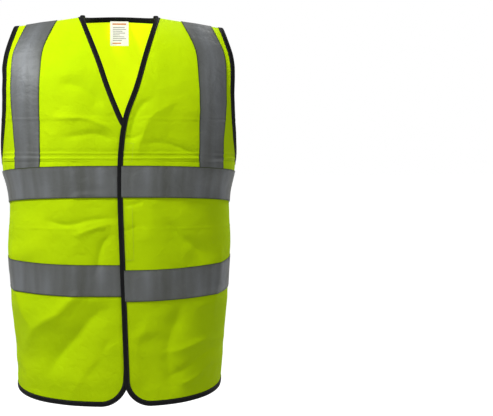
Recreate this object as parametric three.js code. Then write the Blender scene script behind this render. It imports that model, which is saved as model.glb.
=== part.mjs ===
// High visibility vest: a sleeveless vest of fluorescent knitted cloth with grey reflective
// tapes, black bound edges and an overlapping front that closes on hook-and-loop patches.
//
// Frame: millimetres, +Z up. The wearer faces -Y and the wearer's left is +X. The origin lies
// midway between the two neck points, where the vest rests on the shoulders.
//
// The cloth follows two faces, front and back, that meet at the shoulder seams and the side
// seams. A place on a face is a pair (u, drop): u runs from 0 on the centre line to 1 on the
// outer edge, and drop is the distance below the shoulder line. Every panel, tape, binding
// and patch is a grid of such places, thickened along the cloth's normal, so that pieces
// which lie on one another share their facets and keep an even clearance.

import * as THREE from 'three';

// ---- Overall sizes ----
const neckHalfWidth = 62;
const neckBackDepth = 70;
const neckBackRise = 6;
const shoulderHalfWidth = 177;
const shoulderFall = 18;
const sleeveOverhang = 15;
const underarmHalfWidth = 198;
const waistHalfWidth = 188;
const hemHalfWidth = 173;
const armholeDrop = 246;
const armholeWidestDrop = 140;
const armholeFrontReach = 68;
const armholeBackReach = 75;
const hemSideDrop = 624;
const hemCentreDrop = 648;
const frontChestDepth = 130;
const frontBellyDepth = 135;
const frontHemDepth = 129;
const backChestDepth = 128;
const backWaistDepth = 120;
const backHemDepth = 130;
const sectionPower = 2.4;
const armholeWrap = 0.735;
const chestRollDrop = 230;
const shoulderFadeDrop = 200;

// ---- Front opening ----
const neckPointDrop = 172;
const leftEdgeLap = 3.3;
const leftEdgeHemSet = 6.5;
const rightEdgeLap = 24;
const rightEdgeHemLap = 12;
const cornerRadius = 45;
const foldTopDrop = 88;
const foldHemHalfWidth = 118;
const layerLift = 2.3;
const liftFadeStart = 35;
const liftFadeEnd = 100;

// ---- Cloth, tapes and bindings ----
const clothThickness = 1.2;
const tapeWidth = 52;
const tapeThickness = 0.8;
const bindingWidth = 6.5;
const bindingThickness = 0.8;
const bindingClearance = 0.5;
const armholeBindingClearance = 2;
const clearance = 0.3;
const seamGap = 0.6;
const seamWidth = 8;
const seamClearance = 1.1;
const chestTapeBelowArmhole = { front: 33, side: 45, back: 69 };
const waistTapeDrop = { left: 449, right: 441, side: 430, back: 458 };
const braceShoulderX = 131;
const braceFrontX = 153;
const braceBackX = 146;
const braceSettleDrop = 62;

// ---- Print, label and closure patches ----
const printTop = 105;
const printHeight = 60;
const printHalfWidth = 117;
const labelWidth = 32;
const labelLength = 43;
const labelThickness = 0.6;
const labelInset = 5;
const labelTop = -1;
const patchWidth = 16;
const patchThickness = 0.8;
const patchEdgeInset = 8;
const upperPatchLength = 33;
const patchAboveChestTape = 5;
const patchBelowChestTape = 13;
const patchAboveWaistTape = 7;

// ---- Looks ----
const look = (color, roughness, metalness) => new THREE.MeshStandardMaterial({ color, roughness, metalness });
const fluorescentCloth = () => look('#c4ee10', 0.75, 0);
const reflectiveTape = () => look('#74797c', 0.45, 0.1);
const blackBinding = () => look('#0b0b0c', 0.85, 0);
const blackPrint = () => look('#101010', 0.6, 0);
const whiteLabel = () => look('#f2f0e6', 0.6, 0);
const hookAndLoop = () => look('#cfe83a', 0.9, 0);

// ---- Small mathematics ----
const mix = (a, b, t) => a + (b - a) * t;
const smooth = (start, end, value) => THREE.MathUtils.smoothstep(value, start, end);

/** A smooth curve through [position, value] stations, level beyond the first and the last. */
function through(stations) {
  const last = stations.length - 1;
  const slopes = stations.map((_, i) => {
    const before = stations[Math.max(i - 1, 0)];
    const after = stations[Math.min(i + 1, last)];
    return (after[1] - before[1]) / (after[0] - before[0]);
  });
  return (position) => {
    const x = THREE.MathUtils.clamp(position, stations[0][0], stations[last][0]);
    const i = Math.min(stations.findLastIndex(([start]) => start <= x), last - 1);
    const width = stations[i + 1][0] - stations[i][0];
    const t = (x - stations[i][0]) / width;
    const rise = 3 * t * t - 2 * t * t * t;
    return mix(stations[i][1], stations[i + 1][1], rise)
      + width * (t * (1 - t) * ((1 - t) * slopes[i] - t * slopes[i + 1]));
  };
}

// ---- The shape of the cloth ----
const sideHalfWidth = through([
  [0, shoulderHalfWidth],
  [60, shoulderHalfWidth + sleeveOverhang],
  [150, shoulderHalfWidth + sleeveOverhang],
  [armholeDrop, underarmHalfWidth],
  [armholeDrop + 54, waistHalfWidth],
  [armholeDrop + 160, waistHalfWidth],
  [hemSideDrop, hemHalfWidth],
]);

const front = {
  sign: -1,
  reach: armholeFrontReach,
  depth: through([
    [chestRollDrop, frontChestDepth],
    [chestRollDrop + 90, frontBellyDepth],
    [chestRollDrop + 190, frontBellyDepth],
    [hemSideDrop, frontHemDepth],
  ]),
  tables: new Map(),
};

const back = {
  sign: 1,
  reach: armholeBackReach,
  depth: through([
    [chestRollDrop, backChestDepth],
    [chestRollDrop + 160, backWaistDepth],
    [hemSideDrop, backHemDepth],
  ]),
  tables: new Map(),
};

/** The section of a face: 1 on the centre line, 0 at u = 1, where it has turned by `wrap`. */
function sectionHeight(u, wrap) {
  const height = (v) => Math.pow(Math.max(1 - Math.pow(v, sectionPower), 0), 1 / sectionPower);
  return (height(u * wrap) - height(wrap)) / (1 - height(wrap));
}

/** How far the armhole's edge lies before or behind the shoulder end, an oval in side view. */
function armholeReach(face, drop) {
  if (drop >= armholeDrop) return 0;
  const half = drop < armholeWidestDrop ? armholeWidestDrop : armholeDrop - armholeWidestDrop;
  return face.reach * Math.sqrt(1 - ((drop - armholeWidestDrop) / half) ** 2);
}

/** The cloth's depth on the centre line, which rolls over from the shoulder to the chest. */
function centreDepth(face, drop) {
  const roll = 1 - Math.pow(1 - Math.min(drop / chestRollDrop, 1), 2.4);
  return face.depth(drop) * Math.pow(roll, 0.667);
}

/** The middle of the cloth at (|u|, drop), on the wearer's left. */
function surfacePoint(face, u, drop) {
  const x = u * sideHalfWidth(drop);
  const edge = armholeReach(face, drop);
  const wrap = mix(armholeWrap, 1, smooth(160, armholeDrop, drop));
  let y = edge + (centreDepth(face, drop) - edge) * sectionHeight(u, wrap);
  const top = 1 - smooth(0, shoulderFadeDrop, drop);
  const fall = shoulderFall / (shoulderHalfWidth - neckHalfWidth);
  let z = -drop - fall * Math.max(x - neckHalfWidth, 0) * top;
  if (face === back && x < neckHalfWidth) {
    const arc = 1 - (x / neckHalfWidth) ** 2;
    y = Math.cbrt((neckBackDepth * Math.sqrt(arc) * top) ** 3 + y ** 3);
    z += neckBackRise * arc * top;
  }
  return new THREE.Vector3(x, face.sign * y, z);
}

/** Outward normal of a face at (|u|, drop). */
function surfaceNormal(face, u, drop) {
  const step = u + 0.004 > 1 ? -0.004 : 0.004;
  const here = surfacePoint(face, u, drop);
  const across = surfacePoint(face, u + step, drop).sub(here).multiplyScalar(Math.sign(step));
  const down = surfacePoint(face, u, drop + 0.05).sub(here);
  return across.cross(down).multiplyScalar(face.sign).normalize();
}

/** Cloth length from the centre line at equal steps of a face's turn, for one drop. */
function lengthTable(face, drop) {
  const key = drop.toFixed(4);
  if (!face.tables.has(key)) {
    const steps = 90;
    const turns = Array.from({ length: steps + 1 }, (_, i) => Math.sin((i / steps) * Math.PI / 2));
    const points = turns.map((u) => surfacePoint(face, u, drop));
    const lengths = [0];
    for (let i = 1; i <= steps; i += 1) lengths.push(lengths[i - 1] + points[i].distanceTo(points[i - 1]));
    face.tables.set(key, { turns, lengths });
  }
  return face.tables.get(key);
}

function interpolate(xs, ys, x) {
  const i = THREE.MathUtils.clamp(xs.findLastIndex((start) => start <= x), 0, xs.length - 2);
  return mix(ys[i], ys[i + 1], (x - xs[i]) / (xs[i + 1] - xs[i]));
}

/** Cloth length from the centre line out to u, and the u at a cloth length. */
function lengthAt(face, u, drop) {
  const table = lengthTable(face, drop);
  return Math.sign(u) * interpolate(table.turns, table.lengths, Math.min(Math.abs(u), 1));
}

function turnAt(face, length, drop) {
  const table = lengthTable(face, drop);
  return Math.sign(length) * Math.min(interpolate(table.lengths, table.turns, Math.abs(length)), 1);
}

/** The drop at a cloth length below the shoulder seam, along the centre line's profile. */
function profileTable(face) {
  const drops = Array.from({ length: 601 }, (_, i) => hemCentreDrop * (i / 600) ** 3);
  const lengths = [0];
  for (let i = 1; i < drops.length; i += 1) {
    const rise = centreDepth(face, drops[i]) - centreDepth(face, drops[i - 1]);
    lengths.push(lengths[i - 1] + Math.hypot(rise, drops[i] - drops[i - 1]));
  }
  return { drops, lengths };
}
front.profile = profileTable(front);
back.profile = profileTable(back);

const runAt = (face, drop) => interpolate(face.profile.drops, face.profile.lengths, drop);
const dropAt = (face, run) => interpolate(face.profile.lengths, face.profile.drops, run);

/** A point at `lift` from the middle of the cloth; `half` is 1 on the left front, -1 on the
 *  right front, which lies under the left one where they overlap, and 0 on the back. */
function clothPoint({ face, half, u, drop }, lift) {
  const turn = Math.abs(u);
  const point = surfacePoint(face, turn, drop);
  const fade = 1 - smooth(liftFadeStart, liftFadeEnd, point.x);
  const layer = half * layerLift * fade * smooth(60, neckPointDrop - 10, drop);
  point.addScaledVector(surfaceNormal(face, turn, drop), lift + layer);
  if ((half || 1) * u < 0) point.x = -point.x;
  return point;
}

// ---- Lines on the cloth: columns give u at a drop, rows give the drop at u ----
/** The column a cloth length away from another one. */
const beside = (face, column, length) => (drop) => turnAt(face, lengthAt(face, column(drop), drop) + length, drop);

/** Columns that divide the cloth between two columns into equal widths. */
function columnsBetween(face, inner, outer, count) {
  return Array.from({ length: count + 1 }, (_, i) => (drop) => {
    const start = lengthAt(face, inner(drop), drop);
    const end = lengthAt(face, outer(drop), drop);
    return turnAt(face, mix(start, end, i / count), drop);
  });
}

const rowsBetween = (top, bottom, count) =>
  Array.from({ length: count + 1 }, (_, i) => (u) => mix(top(u), bottom(u), i / count));

/** A list of lines through several keys, with the given number of steps between them. */
const chain = (parts) => parts.flatMap((part, i) => (i ? part.slice(1) : part));

const atDrop = (drop) => () => drop;
const atX = (x) => (drop) => x(drop) / sideHalfWidth(drop);

/** A line that sits at `centre` on the centre line and at `side` on the side seam. */
const sagging = (centre, side) => (u) => mix(side, centre, sectionHeight(Math.min(Math.abs(u), 1), 1));

const shifted = (row, distance) => (u) => row(u) + distance;

/** Drops of the rows beside the armhole: even steps round its oval, with extra rows put in. */
function armholeRows(face, extra) {
  const upper = [10, 20, 32, 45, 60, 75].map((degrees) => {
    return armholeWidestDrop * (1 - Math.cos(THREE.MathUtils.degToRad(degrees)));
  });
  const lower = [0, 18, 35, 48, 58, 67, 75, 83, 90].map((degrees) => {
    const part = Math.sin(THREE.MathUtils.degToRad(degrees));
    return mix(armholeWidestDrop, armholeDrop, part);
  });
  const even = [...upper, ...lower].filter((drop) => extra.every((own) => Math.abs(own - drop) > 5));
  return [dropAt(face, seamGap), ...even, ...extra].sort((a, b) => a - b).map(atDrop);
}

/** Rows of a panel from the shoulder seam to the hem, with the tape edges among them. */
function panelRows(face, extra, chest, waist, hem) {
  return chain([
    armholeRows(face, extra),
    [atDrop(armholeDrop), chest.top],
    rowsBetween(chest.top, chest.bottom, 2),
    rowsBetween(chest.bottom, waist.top, 4),
    rowsBetween(waist.top, waist.bottom, 2),
    rowsBetween(waist.bottom, hem, 4),
  ]);
}

const tapeLines = (centre, side) => ({
  top: sagging(centre - tapeWidth / 2, side - tapeWidth / 2),
  bottom: sagging(centre + tapeWidth / 2, side + tapeWidth / 2),
});

/** The places where columns and rows cross. */
function crossings(face, half, columns, rows) {
  return rows.map((row) => columns.map((column) => {
    let drop = row(0.5);
    for (let pass = 0; pass < 6; pass += 1) drop = row(column(drop));
    return { face, half, u: column(drop), drop };
  }));
}

// ---- Solids ----
const vest = new THREE.Group();
vest.name = 'high_visibility_vest';

/** Adds a closed mesh, leaving out faces that have shrunk to a line, with its faces outwards. */
function addMesh(name, points, faces, material) {
  const area = ([a, b, c]) => {
    const ab = points[b].clone().sub(points[a]);
    return ab.cross(points[c].clone().sub(points[a])).length();
  };
  const kept = faces.filter((face) => area(face) > 1e-6);
  const volume = kept.reduce((sum, [a, b, c]) => sum + points[a].dot(points[b].clone().cross(points[c])), 0);
  const index = kept.flatMap(([a, b, c]) => (volume > 0 ? [a, b, c] : [a, c, b]));
  const geometry = new THREE.BufferGeometry();
  geometry.setAttribute('position', new THREE.Float32BufferAttribute(points.flatMap((p) => p.toArray()), 3));
  geometry.setIndex(index);
  geometry.computeVertexNormals();
  const mesh = new THREE.Mesh(geometry, material);
  mesh.name = name;
  vest.add(mesh);
}

const quad = (a, b, c, d) => [[a, b, c], [a, c, d]];

/** A sheet that follows a grid of places, from `lower` to `upper` off the cloth's middle. */
function addSheet(name, places, lower, upper, material) {
  const rows = places.length;
  const columns = places[0].length;
  const points = [lower, upper].flatMap((lift) => places.flat().map((place) => clothPoint(place, lift)));
  const at = (layer, i, j) => (layer * rows + i) * columns + j;
  const faces = [];
  for (let i = 0; i + 1 < rows; i += 1) {
    for (let j = 0; j + 1 < columns; j += 1) {
      faces.push(...quad(at(0, i, j), at(0, i, j + 1), at(0, i + 1, j + 1), at(0, i + 1, j)));
      faces.push(...quad(at(1, i, j), at(1, i + 1, j), at(1, i + 1, j + 1), at(1, i, j + 1)));
    }
  }
  for (let i = 0; i + 1 < rows; i += 1) {
    faces.push(...quad(at(0, i, 0), at(0, i + 1, 0), at(1, i + 1, 0), at(1, i, 0)));
    const j = columns - 1;
    faces.push(...quad(at(0, i, j), at(1, i, j), at(1, i + 1, j), at(0, i + 1, j)));
  }
  for (let j = 0; j + 1 < columns; j += 1) {
    faces.push(...quad(at(0, 0, j), at(1, 0, j), at(1, 0, j + 1), at(0, 0, j + 1)));
    const i = rows - 1;
    faces.push(...quad(at(0, i, j), at(0, i, j + 1), at(1, i, j + 1), at(1, i, j)));
  }
  addMesh(name, points, faces, material);
}

const clothHalf = clothThickness / 2;
const addCloth = (name, places) => addSheet(name, places, -clothHalf, clothHalf, fluorescentCloth());

/** A tape, print or patch on the outside (side = 1) or the inside (side = -1) of the cloth. */
function addTrim(name, places, thickness, material, side = 1, gap = clearance) {
  const near = side * (clothHalf + gap);
  addSheet(name, places, near, near + side * thickness, material);
}

/** A binding folded round an edge. Each stop has the place on the cloth's edge and the place
 *  where the binding ends on the cloth. A closed binding runs on from its last stop to its first. */
function addBinding(name, stops, closed = false, gap = bindingClearance) {
  const slot = clothHalf + gap;
  const outside = slot + bindingThickness;
  const points = stops.flatMap(({ edge, inner }) => {
    const out = clothPoint(edge, 0).sub(clothPoint(inner, 0)).normalize();
    const beyond = (lift, distance) => clothPoint(edge, lift).addScaledVector(out, distance);
    return [
      beyond(-outside, gap + bindingThickness),
      clothPoint(inner, -outside),
      clothPoint(inner, -slot),
      beyond(-slot, gap),
      beyond(slot, gap),
      clothPoint(inner, slot),
      clothPoint(inner, outside),
      beyond(outside, gap + bindingThickness),
    ];
  });
  const corners = 8;
  const links = closed ? stops.length : stops.length - 1;
  const faces = [];
  for (let i = 0; i < links; i += 1) {
    const here = i * corners;
    const next = ((i + 1) % stops.length) * corners;
    for (let k = 0; k < corners; k += 1) {
      const far = (k + 1) % corners;
      faces.push(...quad(here + k, here + far, next + far, next + k));
    }
  }
  if (!closed) {
    const end = (stops.length - 1) * corners;
    for (const [a, b, c, d] of [[0, 1, 2, 3], [0, 3, 4, 7], [7, 4, 5, 6]]) {
      faces.push(...quad(d, c, b, a));
      faces.push(...quad(end + a, end + b, end + c, end + d));
    }
  }
  addMesh(name, points, faces, blackBinding());
}

// ---- Back ----
const outerEdge = atDrop(1);
const sideSeam = (face) => beside(face, outerEdge, -seamGap / 2);
const besideEdge = (face) => beside(face, outerEdge, -bindingWidth - clearance);
const neckSteps = 5;
const neckColumns = Array.from({ length: neckSteps + 1 }, (_, i) =>
  atDrop((neckHalfWidth / shoulderHalfWidth) * Math.sin((i / neckSteps) * Math.PI / 2)));

/** The two edges of a brace tape, which runs in from the shoulder and then straight down. */
function braceColumns(face, settledX) {
  const middle = atX(through([[0, braceShoulderX], [braceSettleDrop, settledX], [armholeDrop, settledX]]));
  return { inner: beside(face, middle, -tapeWidth / 2), outer: beside(face, middle, tapeWidth / 2) };
}

/** The outer edge of a panel: the armhole's edge, and below it the side seam with its gap. */
const panelOuter = (face) => (drop) => (drop < armholeDrop ? 1 : sideSeam(face)(drop));

const backChest = tapeLines(armholeDrop + chestTapeBelowArmhole.back, armholeDrop + chestTapeBelowArmhole.side);
const backWaist = tapeLines(waistTapeDrop.back, waistTapeDrop.side);
const backHem = sagging(hemCentreDrop, hemSideDrop);
const backBrace = braceColumns(back, braceBackX);
const printEdge = atX(through([[0, mix(neckHalfWidth, braceShoulderX - tapeWidth / 2, 0.5)],
  [braceSettleDrop, printHalfWidth * 0.93], [printTop, printHalfWidth * 0.96], [armholeDrop, printHalfWidth]]));

/** The same columns on both sides of the centre line. */
const mirrored = (columns) => [
  ...columns.slice(1).reverse().map((column) => (drop) => -column(drop)),
  ...columns,
];

const printColumns = chain([
  neckColumns,
  columnsBetween(back, neckColumns[neckSteps], printEdge, 2),
]);
const backBraceColumns = columnsBetween(back, backBrace.inner, backBrace.outer, 3);
const backColumns = mirrored(chain([
  printColumns,
  [printEdge, backBrace.inner],
  backBraceColumns,
  columnsBetween(back, backBrace.outer, besideEdge(back), 3),
  [besideEdge(back), panelOuter(back)],
]));
const backRows = panelRows(back, [printTop, printTop + printHeight], backChest, backWaist, backHem);
const rowsWithin = (rows, from, to) => rows.filter((row) => row(0) >= from && row(0) <= to);

function addBack() {
  addCloth('back_panel', crossings(back, 0, backColumns, backRows));
  addTrim('back_chest_tape', crossings(back, 0, backColumns, rowsBetween(backChest.top, backChest.bottom, 2)),
    tapeThickness, reflectiveTape());
  addTrim('back_waist_tape', crossings(back, 0, backColumns, rowsBetween(backWaist.top, backWaist.bottom, 2)),
    tapeThickness, reflectiveTape());
  const printRows = rowsWithin(backRows, printTop, printTop + printHeight);
  addTrim('back_print', crossings(back, 0, mirrored(printColumns), printRows), tapeThickness / 2, blackPrint());

  const hemStops = backColumns.map((column) => {
    const [[edge]] = crossings(back, 0, [column], [backHem]);
    return { edge, inner: { ...edge, drop: edge.drop - bindingWidth } };
  });
  addBinding('back_hem_binding', hemStops);

  const [neckEdge] = crossings(back, 0, mirrored(neckColumns.slice(0, -2)), [backRows[0]]);
  const neckStops = neckEdge.map((edge) => ({ edge, inner: { ...edge, drop: edge.drop + bindingWidth } }));
  addBinding('back_neck_binding', neckStops);
}

// ---- Fronts ----
const leftFrontEdge = through([
  [0, neckHalfWidth], [62, 42], [122, 25], [neckPointDrop, 7], [228, -leftEdgeLap + 1.7],
  [300, -leftEdgeLap], [411, 0], [hemCentreDrop - cornerRadius, leftEdgeHemSet],
]);
const rightFrontEdge = through([
  [0, neckHalfWidth], [72, 34], [122, 17], [neckPointDrop, -3], [218, -rightEdgeLap],
  [411, -rightEdgeLap], [hemCentreDrop - cornerRadius, -rightEdgeHemLap],
]);

/** Everything that one front's pieces share; `half` is 1 on the wearer's left. */
function frontLines(half, edgeX, waistDrop) {
  const edge = atX(edgeX);
  const foldTopX = edgeX(foldTopDrop);
  const foldX = (drop) => mix(foldTopX, foldHemHalfWidth, (drop - foldTopDrop) / (hemCentreDrop - foldTopDrop));
  const fold = atX(foldX);
  const corner = (u) => {
    const x = u * sideHalfWidth(hemCentreDrop) - edgeX(hemCentreDrop);
    const inset = cornerRadius - THREE.MathUtils.clamp(x, 0, cornerRadius);
    return cornerRadius - Math.sqrt(cornerRadius ** 2 - inset ** 2);
  };
  const plainHem = sagging(hemCentreDrop, hemSideDrop);
  const chest = tapeLines(armholeDrop + chestTapeBelowArmhole.front, armholeDrop + chestTapeBelowArmhole.side);
  const waist = tapeLines(waistDrop, waistTapeDrop.side);
  return { half, edge, edgeX, fold, chest, waist, plainHem, hem: (u) => plainHem(u) - corner(u) };
}

const leftFront = frontLines(1, leftFrontEdge, waistTapeDrop.left);
const rightFront = frontLines(-1, rightFrontEdge, waistTapeDrop.right);
const frontBrace = braceColumns(front, braceFrontX);

/** The part of a front beside the fold line, which stays on the body when the front opens. */
function addFrontSide(side, { half, edge, fold, chest, waist, plainHem }) {
  const inner = (drop) => (drop <= foldTopDrop ? edge(drop) : beside(front, fold, clearance)(drop));
  const besideInner = beside(front, inner, bindingWidth + clearance);
  const braceColumnsOn = columnsBetween(front, frontBrace.inner, frontBrace.outer, 3);
  const columns = chain([
    [inner, besideInner],
    columnsBetween(front, besideInner, frontBrace.inner, 3),
    braceColumnsOn,
    columnsBetween(front, frontBrace.outer, besideEdge(front), 3),
    [besideEdge(front), panelOuter(front)],
  ]);
  const rows = panelRows(front, [foldTopDrop], chest, waist, plainHem);
  addCloth(`${side}_front_side_panel`, crossings(front, half, columns, rows));
  addTrim(`${side}_side_chest_tape`, crossings(front, half, columns, rowsBetween(chest.top, chest.bottom, 2)),
    tapeThickness, reflectiveTape());
  addTrim(`${side}_side_waist_tape`, crossings(front, half, columns, rowsBetween(waist.top, waist.bottom, 2)),
    tapeThickness, reflectiveTape());

  const braceRows = [...armholeRows(front, [foldTopDrop]), shifted(chest.top, -2 * clearance)];
  addTrim(`${side}_front_brace_tape`, crossings(front, half, braceColumnsOn, braceRows),
    tapeThickness, reflectiveTape());

  const hemStops = columns.map((column) => {
    const [[stop]] = crossings(front, half, [column], [plainHem]);
    return { edge: stop, inner: { ...stop, drop: stop.drop - bindingWidth } };
  });
  addBinding(`${side}_hem_binding`, hemStops);

  const neckRows = rowsWithin(armholeRows(front, [foldTopDrop]), 0, foldTopDrop);
  const onEdge = beside(front, edge, bindingWidth);
  const neckStops = crossings(front, half, [edge, onEdge], neckRows).map(([at, on]) => ({ edge: at, inner: on }));
  addBinding(`${side}_neck_binding`, neckStops);
}

/** The part of a front that swings open round the fold line. */
function addFrontFlap(side, { half, edge, edgeX, fold, chest, waist, hem }) {
  const foldSide = beside(front, fold, -clearance);
  const insets = [0, 2.5, bindingWidth + clearance, 14, 25, cornerRadius];
  const columns = [
    ...insets.map((inset, i) => (drop) => {
      const start = lengthAt(front, edge(drop), drop);
      const width = lengthAt(front, foldSide(drop), drop) - start;
      return turnAt(front, start + Math.min(inset, (width * i) / insets.length), drop);
    }),
    foldSide,
  ];
  const topDrop = foldTopDrop + 4;
  const upper = armholeRows(front, [topDrop]).filter((row) => row(0) >= topDrop);
  const lower = panelRows(front, [topDrop], chest, waist, hem).slice(armholeRows(front, [topDrop]).length);
  const rows = [...upper, ...lower];
  addCloth(`${side}_front_panel`, crossings(front, half, columns, rows));
  const tapeColumns = columns.slice(2);
  addTrim(`${side}_front_chest_tape`, crossings(front, half, tapeColumns, rowsBetween(chest.top, chest.bottom, 2)),
    tapeThickness, reflectiveTape());
  addTrim(`${side}_front_waist_tape`, crossings(front, half, tapeColumns, rowsBetween(waist.top, waist.bottom, 2)),
    tapeThickness, reflectiveTape());

  const wideEnough = (row) => lengthAt(front, foldSide(row(0)), row(0)) - lengthAt(front, edge(row(0)), row(0))
    > 2 * bindingWidth;
  const onEdge = beside(front, edge, bindingWidth);
  const edgeStops = crossings(front, half, [edge, onEdge], rows.slice(0, -1).filter(wideEnough))
    .map(([at, on]) => ({ edge: at, inner: on }));
  const centreDrop = hemCentreDrop - cornerRadius;
  const cornerSteps = 7;
  const cornerStops = Array.from({ length: cornerSteps + 1 }, (_, i) => {
    const angle = (i / cornerSteps) * Math.PI / 2;
    const placeAt = (radius) => {
      const drop = centreDrop + radius * Math.sin(angle);
      const x = edgeX(hemCentreDrop) + cornerRadius - radius * Math.cos(angle);
      return { face: front, half, u: x / sideHalfWidth(hemCentreDrop), drop };
    };
    return { edge: placeAt(cornerRadius), inner: placeAt(cornerRadius - bindingWidth) };
  });
  const [[last]] = crossings(front, half, [foldSide], [hem]);
  const hemStop = { edge: last, inner: { ...last, drop: last.drop - bindingWidth } };
  addBinding(`${side}_front_binding`, [...edgeStops, ...cornerStops, hemStop]);
}

/** Hook patches inside the upper front and loop patches on the lower one. */
function addPatches(side, { half, edge }, kind, faceSide) {
  const columns = columnsBetween(front, beside(front, edge, patchEdgeInset),
    beside(front, edge, patchEdgeInset + patchWidth), 2);
  const chestTape = armholeDrop + chestTapeBelowArmhole.front;
  const upperFoot = chestTape - tapeWidth / 2 - patchAboveChestTape;
  const lowerTop = chestTape + tapeWidth / 2 + patchBelowChestTape;
  const lowerFoot = Math.min(waistTapeDrop.left, waistTapeDrop.right) - tapeWidth / 2 - patchAboveWaistTape;
  const patchSpans = [[upperFoot - upperPatchLength, upperFoot], [lowerTop, lowerFoot]];
  patchSpans.forEach(([top, bottom], i) => {
    addTrim(`${side}_front_${kind}_patch_${i + 1}`,
      crossings(front, half, columns, rowsBetween(atDrop(top), atDrop(bottom), 3)),
      patchThickness, hookAndLoop(), faceSide);
  });
}

// ---- Pieces that join the faces, one set for each side ----
function addSide(side, half) {
  const mirror = (place) => (place.face === back ? { ...place, u: place.u * half } : { ...place, half });

  addTrim(`${side}_back_brace_tape`,
    crossings(back, 0, backBraceColumns, [
      ...armholeRows(back, [printTop, printTop + printHeight]),
      atDrop(armholeDrop),
      shifted(backChest.top, -2 * clearance),
    ]).map((row) => (half > 0 ? row : row.map(mirror).reverse())), tapeThickness, reflectiveTape());

  /** Binding stops down one face's armhole edge; the binding lies square to that edge. */
  const armholeStops = (face, extra) => {
    const drops = armholeRows(face, extra).map((row) => row(0)).filter((drop) => drop < armholeDrop);
    const along = drops.map((drop) => [lengthAt(face, 1, drop), runAt(face, drop)]);
    return drops.map((drop, i) => {
      const before = along[Math.max(i - 1, 0)];
      const after = along[i + 1] ?? [lengthAt(face, 1, armholeDrop), runAt(face, armholeDrop)];
      const slope = new THREE.Vector2(after[0] - before[0], after[1] - before[1]).normalize();
      const innerDrop = dropAt(face, along[i][1] + bindingWidth * Math.max(slope.x, 0));
      const innerLength = lengthAt(face, 1, drop) - bindingWidth * slope.y;
      const edge = { face, half: 0, u: 1, drop };
      return { edge, inner: { ...edge, u: turnAt(face, innerLength, innerDrop), drop: innerDrop } };
    });
  };
  const underarm = { face: front, half: 0, u: 1, drop: armholeDrop };
  const stops = [
    ...armholeStops(front, [foldTopDrop]),
    { edge: underarm, inner: { ...underarm, drop: armholeDrop + bindingWidth } },
    ...armholeStops(back, [printTop, printTop + printHeight]).reverse(),
  ];
  const mirrorStop = ({ edge, inner }) => ({ edge: mirror(edge), inner: mirror(inner) });
  addBinding(`${side}_armhole_binding`, stops.map(mirrorStop), true, armholeBindingClearance);

  const seamTop = atDrop(armholeDrop + 2 * bindingWidth);
  const seamRows = rowsBetween(seamTop, atDrop(hemSideDrop - 2 * bindingWidth), 14);
  const frontSeam = crossings(front, half, [beside(front, outerEdge, -seamWidth / 2), outerEdge], seamRows);
  const backSeam = crossings(back, 0, [beside(back, outerEdge, -seamWidth / 2)], seamRows);
  const sideSeamPlaces = frontSeam.map((row, i) => [...row, mirror(backSeam[i][0])]);
  addTrim(`${side}_side_seam`, sideSeamPlaces, tapeThickness, fluorescentCloth(), -1, seamClearance);

  const shoulderInset = 2 * bindingWidth;
  const shoulderSteps = 6;
  const shoulderPlaces = Array.from({ length: shoulderSteps + 1 }, (_, i) => {
    const x = mix(neckHalfWidth + shoulderInset, shoulderHalfWidth - shoulderInset, i / shoulderSteps);
    const placeOn = (face, run) => {
      const drop = dropAt(face, run);
      return mirror({ face, half: 0, u: x / sideHalfWidth(drop), drop });
    };
    return [placeOn(front, seamWidth / 2), placeOn(back, 0), placeOn(back, seamWidth / 2)];
  });
  addTrim(`${side}_shoulder_seam`, shoulderPlaces, tapeThickness, fluorescentCloth(), -1, seamClearance);
}

/** The care label, which hangs inside the back neckline. */
function addLabel() {
  const label = new THREE.Mesh(new THREE.BoxGeometry(labelWidth, labelThickness, labelLength), whiteLabel());
  label.name = 'care_label';
  label.position.set(0, neckBackDepth - labelInset, labelTop - labelLength / 2);
  vest.add(label);
}

addBack();
addFrontSide('left', leftFront);
addFrontSide('right', rightFront);
addFrontFlap('left', leftFront);
addFrontFlap('right', rightFront);
addPatches('left', leftFront, 'hook', -1);
addPatches('right', rightFront, 'loop', 1);
addSide('left', 1);
addSide('right', -1);
addLabel();

export default vest;
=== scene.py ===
# %% [markdown]
# # A high visibility vest
# The vest is one layer of knitted cloth with tapes, bindings and a label sewn to it. Everything
# on it follows the same curved cloth, so this lesson first works out that cloth as a formula and
# then lays each piece on it, a little further out than the one below.

# %% Load the fixed frame
import math

import bpy
import numpy as np
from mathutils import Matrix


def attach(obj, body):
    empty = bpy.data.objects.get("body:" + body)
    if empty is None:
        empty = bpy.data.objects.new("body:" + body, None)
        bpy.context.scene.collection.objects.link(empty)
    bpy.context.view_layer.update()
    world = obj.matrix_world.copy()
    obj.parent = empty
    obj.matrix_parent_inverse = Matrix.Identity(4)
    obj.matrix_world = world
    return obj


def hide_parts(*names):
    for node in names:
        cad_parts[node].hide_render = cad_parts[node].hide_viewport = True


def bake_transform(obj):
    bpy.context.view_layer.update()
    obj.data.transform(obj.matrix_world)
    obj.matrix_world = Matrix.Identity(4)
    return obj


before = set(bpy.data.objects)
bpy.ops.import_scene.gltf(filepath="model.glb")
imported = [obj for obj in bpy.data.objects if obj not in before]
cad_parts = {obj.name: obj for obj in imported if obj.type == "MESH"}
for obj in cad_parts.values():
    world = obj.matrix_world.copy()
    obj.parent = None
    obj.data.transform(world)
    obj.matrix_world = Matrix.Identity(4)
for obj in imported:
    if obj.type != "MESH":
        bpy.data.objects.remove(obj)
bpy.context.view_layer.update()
scene = bpy.context.scene
MM = 0.001

# %% [markdown]
# ## Camera, light and floor
# A garment on an invisible mannequin is shot with a long lens from chest height, a little to
# one side, against white. A small strong light stands high before the wearer's right shoulder, so
# that the folds throw shade, a wide one fills the other side, and a third lights the back. The
# eye sees white surroundings and the cloth is lit by dimmer ones; a Light Path node parts them.

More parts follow.
